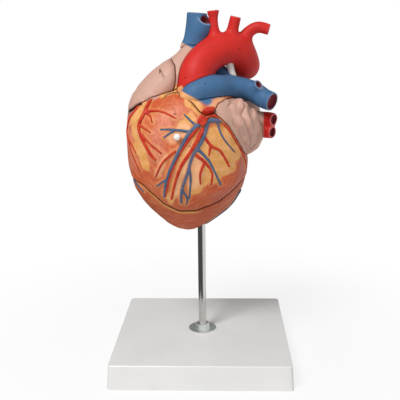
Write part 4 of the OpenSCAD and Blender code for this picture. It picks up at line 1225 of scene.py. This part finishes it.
def muscle_paint():
    """Hand-painted muscle: orange and salmon patches, fine fibres and yellow fat along the vessels."""
    paint, finish = paints(), Finish("muscle paint")
    mix, mask, noise = finish.mix, finish.mask, finish.noise
    place = finish.place()
    patches = noise(place, 16, 3.0)
    blots = noise(place, 5, 3.0, 0.6)
    swirl = finish.swirled(place, 22, 16)
    fibre = noise(finish.arcs(swirl, FIBRE_CENTRE), 1.7, 3.0, 0.65)
    dashes = noise(finish.arcs(swirl, DASH_CENTRE), 1.5, 3.0, 0.65)
    speckle = noise(place, 2.2, 4.0, 0.7)
    side, tall = finish.along(place, 0), finish.along(place, 2)
    near = finish.node("ShaderNodeMath", {"operation": "MINIMUM"}, mask("arteries"), mask("veins"))
    fat_share, pale = mask("fat"), mask("pale")

    colour = mix(patches.step(0.38, 0.62), paint.muscle, paint.muscle_orange)
    colour = mix(mask("orange") * 0.6, colour, paint.muscle_orange)
    colour = mix(mask("pink") * (patches * 0.5 + 0.6), colour, paint.muscle_pink)
    colour = mix(mask("rose") * (patches * 0.6 + 0.6), colour, paint.muscle_rose)
    low = 1 - (tall + patches * 14).step(HEART_Z + 34, HEART_Z + 70)
    colour = mix(low * (side.step(-30, 10) * 0.35 + 0.5), colour, paint.muscle_brown)
    atrial = mask("atrial") * tall.step(HEART_Z + 70, HEART_Z + 84)
    colour = mix(atrial, colour, paint.atrium)

    muscular = 1 - atrial
    strokes = (dashes.step(0.42, 0.62) * 0.5 + fibre.step(0.42, 0.62) * 0.5) * muscular
    colour = mix(strokes * 0.62, colour, paint.fibre_dark)
    colour = mix((1 - dashes.step(0.3, 0.46)) * muscular * 0.3, colour, paint.fibre_light)

    beside = (1 - near.step(0.8, 3.5)) * 0.35 * muscular
    golden = mix(blots.step(0.45, 0.6) * 0.5, paint.fat, paint.fat_pale)
    golden = mix(blots.step(0.3, 0.42) * -0.45 + 0.45, golden, paint.fat_dark)
    colour = mix(((fat_share + beside).clamped() * (speckle * 0.3 + 0.8)).clamped(), colour, golden)
    colour = mix(pale * (blots * 0.6 + 0.5), colour, paint.fat_pale)
    grain = fibre.step(0.55, 0.7) * (fat_share + pale).clamped()
    colour = mix(grain * 0.3, colour, paint.fat_dark)
    colour = mix(speckle.step(0.55, 0.7) * 0.14, colour, paint.fibre_light)

    colour = mix(mask("lip") * (1 - mask("edge").step(0.9, 2.4)) * 0.8, colour, paint.fat)
    colour = mix(mask("blue"), colour, paint.vein)
    colour = mix(mask("lining"), colour, paint.lining)
    # Painted shade at the seams, the gap under the right atrium wall and the muscle's upper edge, then the
    # mould's marks
    colour = finish.with_marks(place, shade_seams(finish, colour, paint))
    height = (fibre + dashes) * (1 - fat_share * 0.6) * 0.5 + speckle * 0.25
    return finish.done(colour, fibre * 0.15 + 0.46, height, 0.5)


def atrium_paint():
    """Smooth flesh paint of the atrium walls, duller on the crinkled auricle."""
    paint, finish = paints(), Finish("atrium paint")
    mix, mask, noise = finish.mix, finish.mask, finish.noise
    place = finish.place()
    cloudy = noise(place, 14, 3.0)
    brushed = noise(place, 3.0, 3.0)
    fine = noise(place, 1.2, 2.0)
    colour = mix(cloudy.step(0.35, 0.65) * 0.5, paint.atrium, paint.auricle)
    colour = mix(mask("auricle") * 0.8, colour, paint.auricle)
    colour = mix(brushed.step(0.5, 0.72) * 0.22, colour, paint.blush)
    colour = mix(mask("lining"), colour, paint.lining)
    side = finish.along(place, 0)
    shadow = (1 - mask("edge").step(0.5, 4.0)) * side.step(-34, -27) * (1 - side.step(-12, -6))
    colour = mix(shadow * 0.6, colour, shade(paint.blush, 0.55))
    # Painted shade along the seams
    colour = shade_seams(finish, colour, paint)
    return finish.done(colour, cloudy * 0.1 + 0.45, fine + brushed * 0.5, 0.15)


def tube_paint(name, colour, dark):
    """Satin paint of a great vessel: darker in its cut ends, flesh where it leaves the heart, with painted
    shade along its seams and a painted highlight on the rims of its cut ends.
    """
    paint, finish = paints(), Finish(name)
    mix, mask, noise = finish.mix, finish.mask, finish.noise
    place = finish.place()
    cloudy = noise(place, 12, 3.0)
    brushed = noise(place, 2.5, 3.0)
    fine = noise(place, 1.0, 2.0)
    base = mix(cloudy.step(0.4, 0.7) * 0.35, colour, shade(colour, dark))
    base = mix(brushed.step(0.55, 0.75) * 0.12, base, tint(colour, 0.75, 0.08))
    # Painted shade along the seam where the vessel meets its neighbours
    base = mix((1 - mask("edge").step(0.1, 0.8)) * 0.3, base, shade(colour, 0.35))
    base = mix(mask("flesh"), base, paint.atrium)
    base = mix(mask("fat"), base, mix(brushed, paint.fat, paint.fat_pale))
    # Painted highlight: the flat rims of the cut ends are lighter
    base = mix(mask("rim") * 0.35, base, tint(colour, 0.55, 0.35))
    base = finish.with_marks(place, mix(mask("lumen"), base, paint.lumen))
    return finish.done(base, cloudy * 0.12 + 0.46, fine + brushed * 0.4, 0.12, specular=0.25)


def artery_paint():
    return tube_paint("artery paint", paints().artery, 0.8)


def vein_paint():
    return tube_paint("vein paint", paints().vein, 0.72)


def relief_paint(name, first, second):
    """Brushed paint of the coronary vessels, with painted shade where they meet the flesh."""
    finish = Finish(name)
    place = finish.place()
    brushed = finish.noise(place, 5, 4.0, 0.6)
    fine = finish.noise(place, 1.2, 2.0)
    base = finish.mix(brushed.step(0.38, 0.62), first, second)
    # Painted shade at the vessel's foot
    base = finish.mix(finish.mask("foot") * 0.7, base, shade(first, 0.4))
    base = finish.mix(fine.step(0.6, 0.75) * 0.15, base, tint(second, 0.7, 0.15))
    return finish.done(base, brushed * 0.15 + 0.42, brushed + fine * 0.3, 0.25, specular=0.25)


def ligament_paint():
    finish = Finish("ligament paint")
    strands = finish.noise(finish.stretched(finish.place(), (1.0, 1.0, 0.15)), 0.9, 3.0)
    colour = finish.mix(strands.step(0.4, 0.7), rgb(222, 216, 212), rgb(192, 182, 178))
    return finish.done(colour, 0.45, strands, 0.2)


def base_paint():
    """Satin white moulding, slightly uneven."""
    finish = Finish("base plastic paint")
    place = finish.place()
    grain = finish.noise(place, 0.7, 2.0)
    cloudy = finish.noise(place, 40, 1.0)
    colour = finish.mix(cloudy.step(0.3, 0.7), rgb(232, 231, 229), rgb(228, 227, 225))
    return finish.done(colour, cloudy * 0.08 + 0.3, grain, 0.04, coat=0.1)


def metal_paint(name, colour, roughness):
    """Bare or plated metal, with fine lines from drawing it."""
    finish = Finish(name)
    drawn = finish.noise(finish.stretched(finish.place(), (1.0, 1.0, 0.04)), 0.5, 2.0)
    colour = finish.mix(drawn.step(0.3, 0.7), colour, shade(colour, 0.88))
    return finish.done(colour, drawn * 0.06 + roughness, drawn, 0.01, metallic=1.0)


def plain_paint(name, colour, roughness=0.45):
    """One colour, slightly cloudy."""
    finish = Finish(name)
    cloudy = finish.noise(finish.place(), 3.0, 2.0)
    colour = finish.mix(cloudy.step(0.3, 0.7), colour, shade(colour, 0.85))
    return finish.done(colour, cloudy * 0.1 + roughness, cloudy, 0.08)


class HEART_OT_stand(bpy.types.Operator):
    """Finishes the base, rod, washers, nuts and liner"""

    bl_idname = "heart.stand"
    bl_label = "Stand"

    def execute(self, context):
        finishes = {
            "base_plate": base_paint(),
            "support_rod": metal_paint("bright rod", rgb(205, 204, 202), 0.1),
            "rod_liner": plain_paint("natural nylon", rgb(232, 226, 212)),
        }
        zinc = metal_paint("zinc plate", rgb(228, 231, 229), 0.5)
        for name in ("base_washer", "rod_nut", "under_washer", "under_nut"):
            finishes[name] = zinc
        for name, material in finishes.items():
            paint_node(name, material)
        return {"FINISHED"}


def paint_node(name, material, bevel=0.25):
    """Gives a CAD node its material, and a small round on its edges."""
    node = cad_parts[name]
    node.data.materials.clear()
    node.data.materials.append(material)
    if bevel:
        made = node.modifiers.new("soft edges", "BEVEL")
        made.width = bevel * MM
        made.segments = 2
        made.limit_method = "ANGLE"
        made.angle_limit = math.radians(40)


class HEART_OT_insides(bpy.types.Operator):
    """Finishes the valves, papillary muscles, cords, pins, knob and hook"""

    bl_idname = "heart.insides"
    bl_label = "Valves and fittings"

    def execute(self, context):
        valve = plain_paint("valve paint", rgb(228, 216, 192))
        for name in ("tricuspid_valve", "mitral_valve", "pulmonary_valve", "aortic_valve", "chordae"):
            paint_node(name, valve, 0)
        paint_node("papillary_muscles", plain_paint("papillary paint", rgb(206, 112, 92)), 0)
        paint_node("locating_pins", metal_paint("pin steel", rgb(180, 182, 184), 0.25), 0.2)
        paint_node("pull_knob", plain_paint("white knob", rgb(250, 248, 242), 0.35), 0)
        paint_node("wall_hook", metal_paint("brass wire", rgb(112, 88, 56), 0.4), 0)
        return {"FINISHED"}


# ------------------------------------------------------------------ stage


# The camera: millimetres in the CAD's frame, and degrees
CAMERA_PLACE = (21.9, -663.9, 318.4)
CAMERA_YAW, CAMERA_PITCH, CAMERA_ROLL = -2.0, 12.87, -0.61
SENSOR_WIDTH = 36
# The lamps, in metres: where they stand, their size, and what they point at
KEY_PLACE, KEY_SIZE = (-0.55, -0.85, 1.4), 0.5
FILL_PLACE, FILL_SIZE = (0.5, -1.2, 0.5), 0.7
LAMP_AIM = (0, 0, 0.2)
# The floor: half its width in metres, and where it turns fully white, in millimetres from the rod
FLOOR_REACH = 4.0
FLOOR_WHITE = (120, 420)
WHITE = (1.0, 1.0, 1.0)


class HEART_OT_stage(bpy.types.Operator):
    """Sets the camera, the lamps, the pale floor and the white surroundings"""

    bl_idname = "heart.stage"
    bl_label = "Stage"

    def execute(self, context):
        stage = context.scene.heart_stage
        self.add_camera(stage)
        self.add_lamps(stage)
        self.add_floor()
        self.add_sky(stage)
        context.scene.view_settings.view_transform = "Standard"
        return {"FINISHED"}

    @staticmethod
    def add_camera(stage):
        data = bpy.data.cameras.new("camera")
        data.lens = stage.lens
        data.sensor_width = SENSOR_WIDTH
        data.clip_start, data.clip_end = 0.05, 20
        camera = bpy.data.objects.new("camera", data)
        yaw, pitch, roll = (math.radians(angle) for angle in (CAMERA_YAW, CAMERA_PITCH, CAMERA_ROLL))
        ahead = Vector((math.sin(yaw) * math.cos(pitch), math.cos(yaw) * math.cos(pitch), -math.sin(pitch)))
        right = Vector((math.cos(yaw), -math.sin(yaw), 0))
        up = right.cross(ahead)
        side = math.cos(roll) * right + math.sin(roll) * up
        over = math.cos(roll) * up - math.sin(roll) * right
        turn = Matrix((side, over, -ahead)).transposed().to_4x4()
        camera.matrix_world = Matrix.Translation(Vector(CAMERA_PLACE) * MM) @ turn
        bpy.context.scene.collection.objects.link(camera)
        bpy.context.scene.camera = camera

    @staticmethod
    def add_lamps(stage):
        for name, place, size, power in (
            ("key lamp", KEY_PLACE, KEY_SIZE, stage.key),
            ("fill lamp", FILL_PLACE, FILL_SIZE, stage.fill),
        ):
            data = bpy.data.lights.new(name, "AREA")
            data.size = size
            data.energy = power
            lamp = bpy.data.objects.new(name, data)
            lamp.location = place
            lamp.rotation_euler = (Vector(place) - Vector(LAMP_AIM)).to_track_quat("Z", "Y").to_euler()
            bpy.context.scene.collection.objects.link(lamp)

    def add_floor(self):
        mesh = bpy.data.meshes.new("floor")
        corners = [(x * FLOOR_REACH, y * FLOOR_REACH, 0) for x, y in ((-1, -1), (1, -1), (1, 1), (-1, 1))]
        mesh.from_pydata(corners, [], [(0, 1, 2, 3)])
        floor = bpy.data.objects.new("floor", mesh)
        bpy.context.scene.collection.objects.link(floor)
        finish = Finish("pale floor")
        place = finish.place()
        colour = finish.mix(finish.noise(place, 300, 1.0), (0.88, 0.88, 0.88), (0.85, 0.85, 0.85))
        matt = finish.node("ShaderNodeBsdfDiffuse", {}, colour)
        far = finish.length(place).step(*FLOOR_WHITE)
        seen, mirrored = self.ray(finish, "Is Camera Ray"), self.ray(finish, "Is Glossy Ray")
        strength = seen + mirrored * self.bright_side(finish, place)
        white = finish.node("ShaderNodeEmission", {}, WHITE, strength)
        share = seen * (0.8 + 0.2 * far) + mirrored
        finish.close(finish.node("ShaderNodeMixShader", {}, share, matt, white))
        mesh.materials.append(finish.material)

    @staticmethod
    def ray(finish, kind):
        return finish.node("ShaderNodeLightPath", {}, output=kind)

    @staticmethod
    def bright_side(finish, direction):
        """What polished metal mirrors: a white room on the right, and dark screens elsewhere."""
        level = finish.node("ShaderNodeVectorMath", {"operation": "MULTIPLY"}, direction, (1.0, 1.0, 0.0))
        level = finish.node("ShaderNodeVectorMath", {"operation": "NORMALIZE"}, level)
        return finish.along(level, 0).step(0.32, 0.6) * 0.9 + 0.1

    def add_sky(self, stage):
        world = bpy.data.worlds.new("surroundings")
        bpy.context.scene.world = world
        finish = Finish("surroundings", world)
        direction = finish.node("ShaderNodeTexCoord", {}, output="Generated")
        seen = (self.ray(finish, "Is Camera Ray") + self.ray(finish, "Is Transmission Ray")).clamped()
        mirrored = self.ray(finish, "Is Glossy Ray")
        strength = seen + mirrored * self.bright_side(finish, direction) + (1 - seen - mirrored) * stage.sky
        glow = finish.node("ShaderNodeBackground", {}, WHITE, strength.clamped())
        finish.close(glow, "ShaderNodeOutputWorld")


class HEART_PT_panel(bpy.types.Panel):
    """Lists the steps of the heart model"""

    bl_idname = "HEART_PT_panel"
    bl_label = "Heart model"
    bl_space_type = "VIEW_3D"
    bl_region_type = "UI"
    bl_category = "Heart"

    def draw(self, context):
        layout = self.layout
        for group in (context.scene.heart_shape, context.scene.heart_paint, context.scene.heart_stage):
            box = layout.box()
            for name in group.bl_rna.properties.keys():
                if name not in ("rna_type", "name"):
                    box.prop(group, name)
        for step in STEPS:
            layout.operator(step.bl_idname)


STEPS = (
    HEART_OT_stage, HEART_OT_walls, HEART_OT_vessels, HEART_OT_coronaries, HEART_OT_insides, HEART_OT_stand,
)
CLASSES = (HeartShape, HeartPaint, HeartStage, *STEPS, HEART_PT_panel)
GROUPS = {"heart_shape": HeartShape, "heart_paint": HeartPaint, "heart_stage": HeartStage}


def register():
    for one in CLASSES:
        bpy.utils.register_class(one)
    for name, group in GROUPS.items():
        setattr(bpy.types.Scene, name, PointerProperty(type=group))


def unregister():
    for name in GROUPS:
        delattr(bpy.types.Scene, name)
    for one in reversed(CLASSES):
        bpy.utils.unregister_class(one)


def main():
    register()
    bpy.ops.heart.stage()
    bpy.ops.heart.walls()
    bpy.ops.heart.vessels()
    bpy.ops.heart.coronaries()
    bpy.ops.heart.insides()
    bpy.ops.heart.stand()


if __name__ == "__main__":
    main()
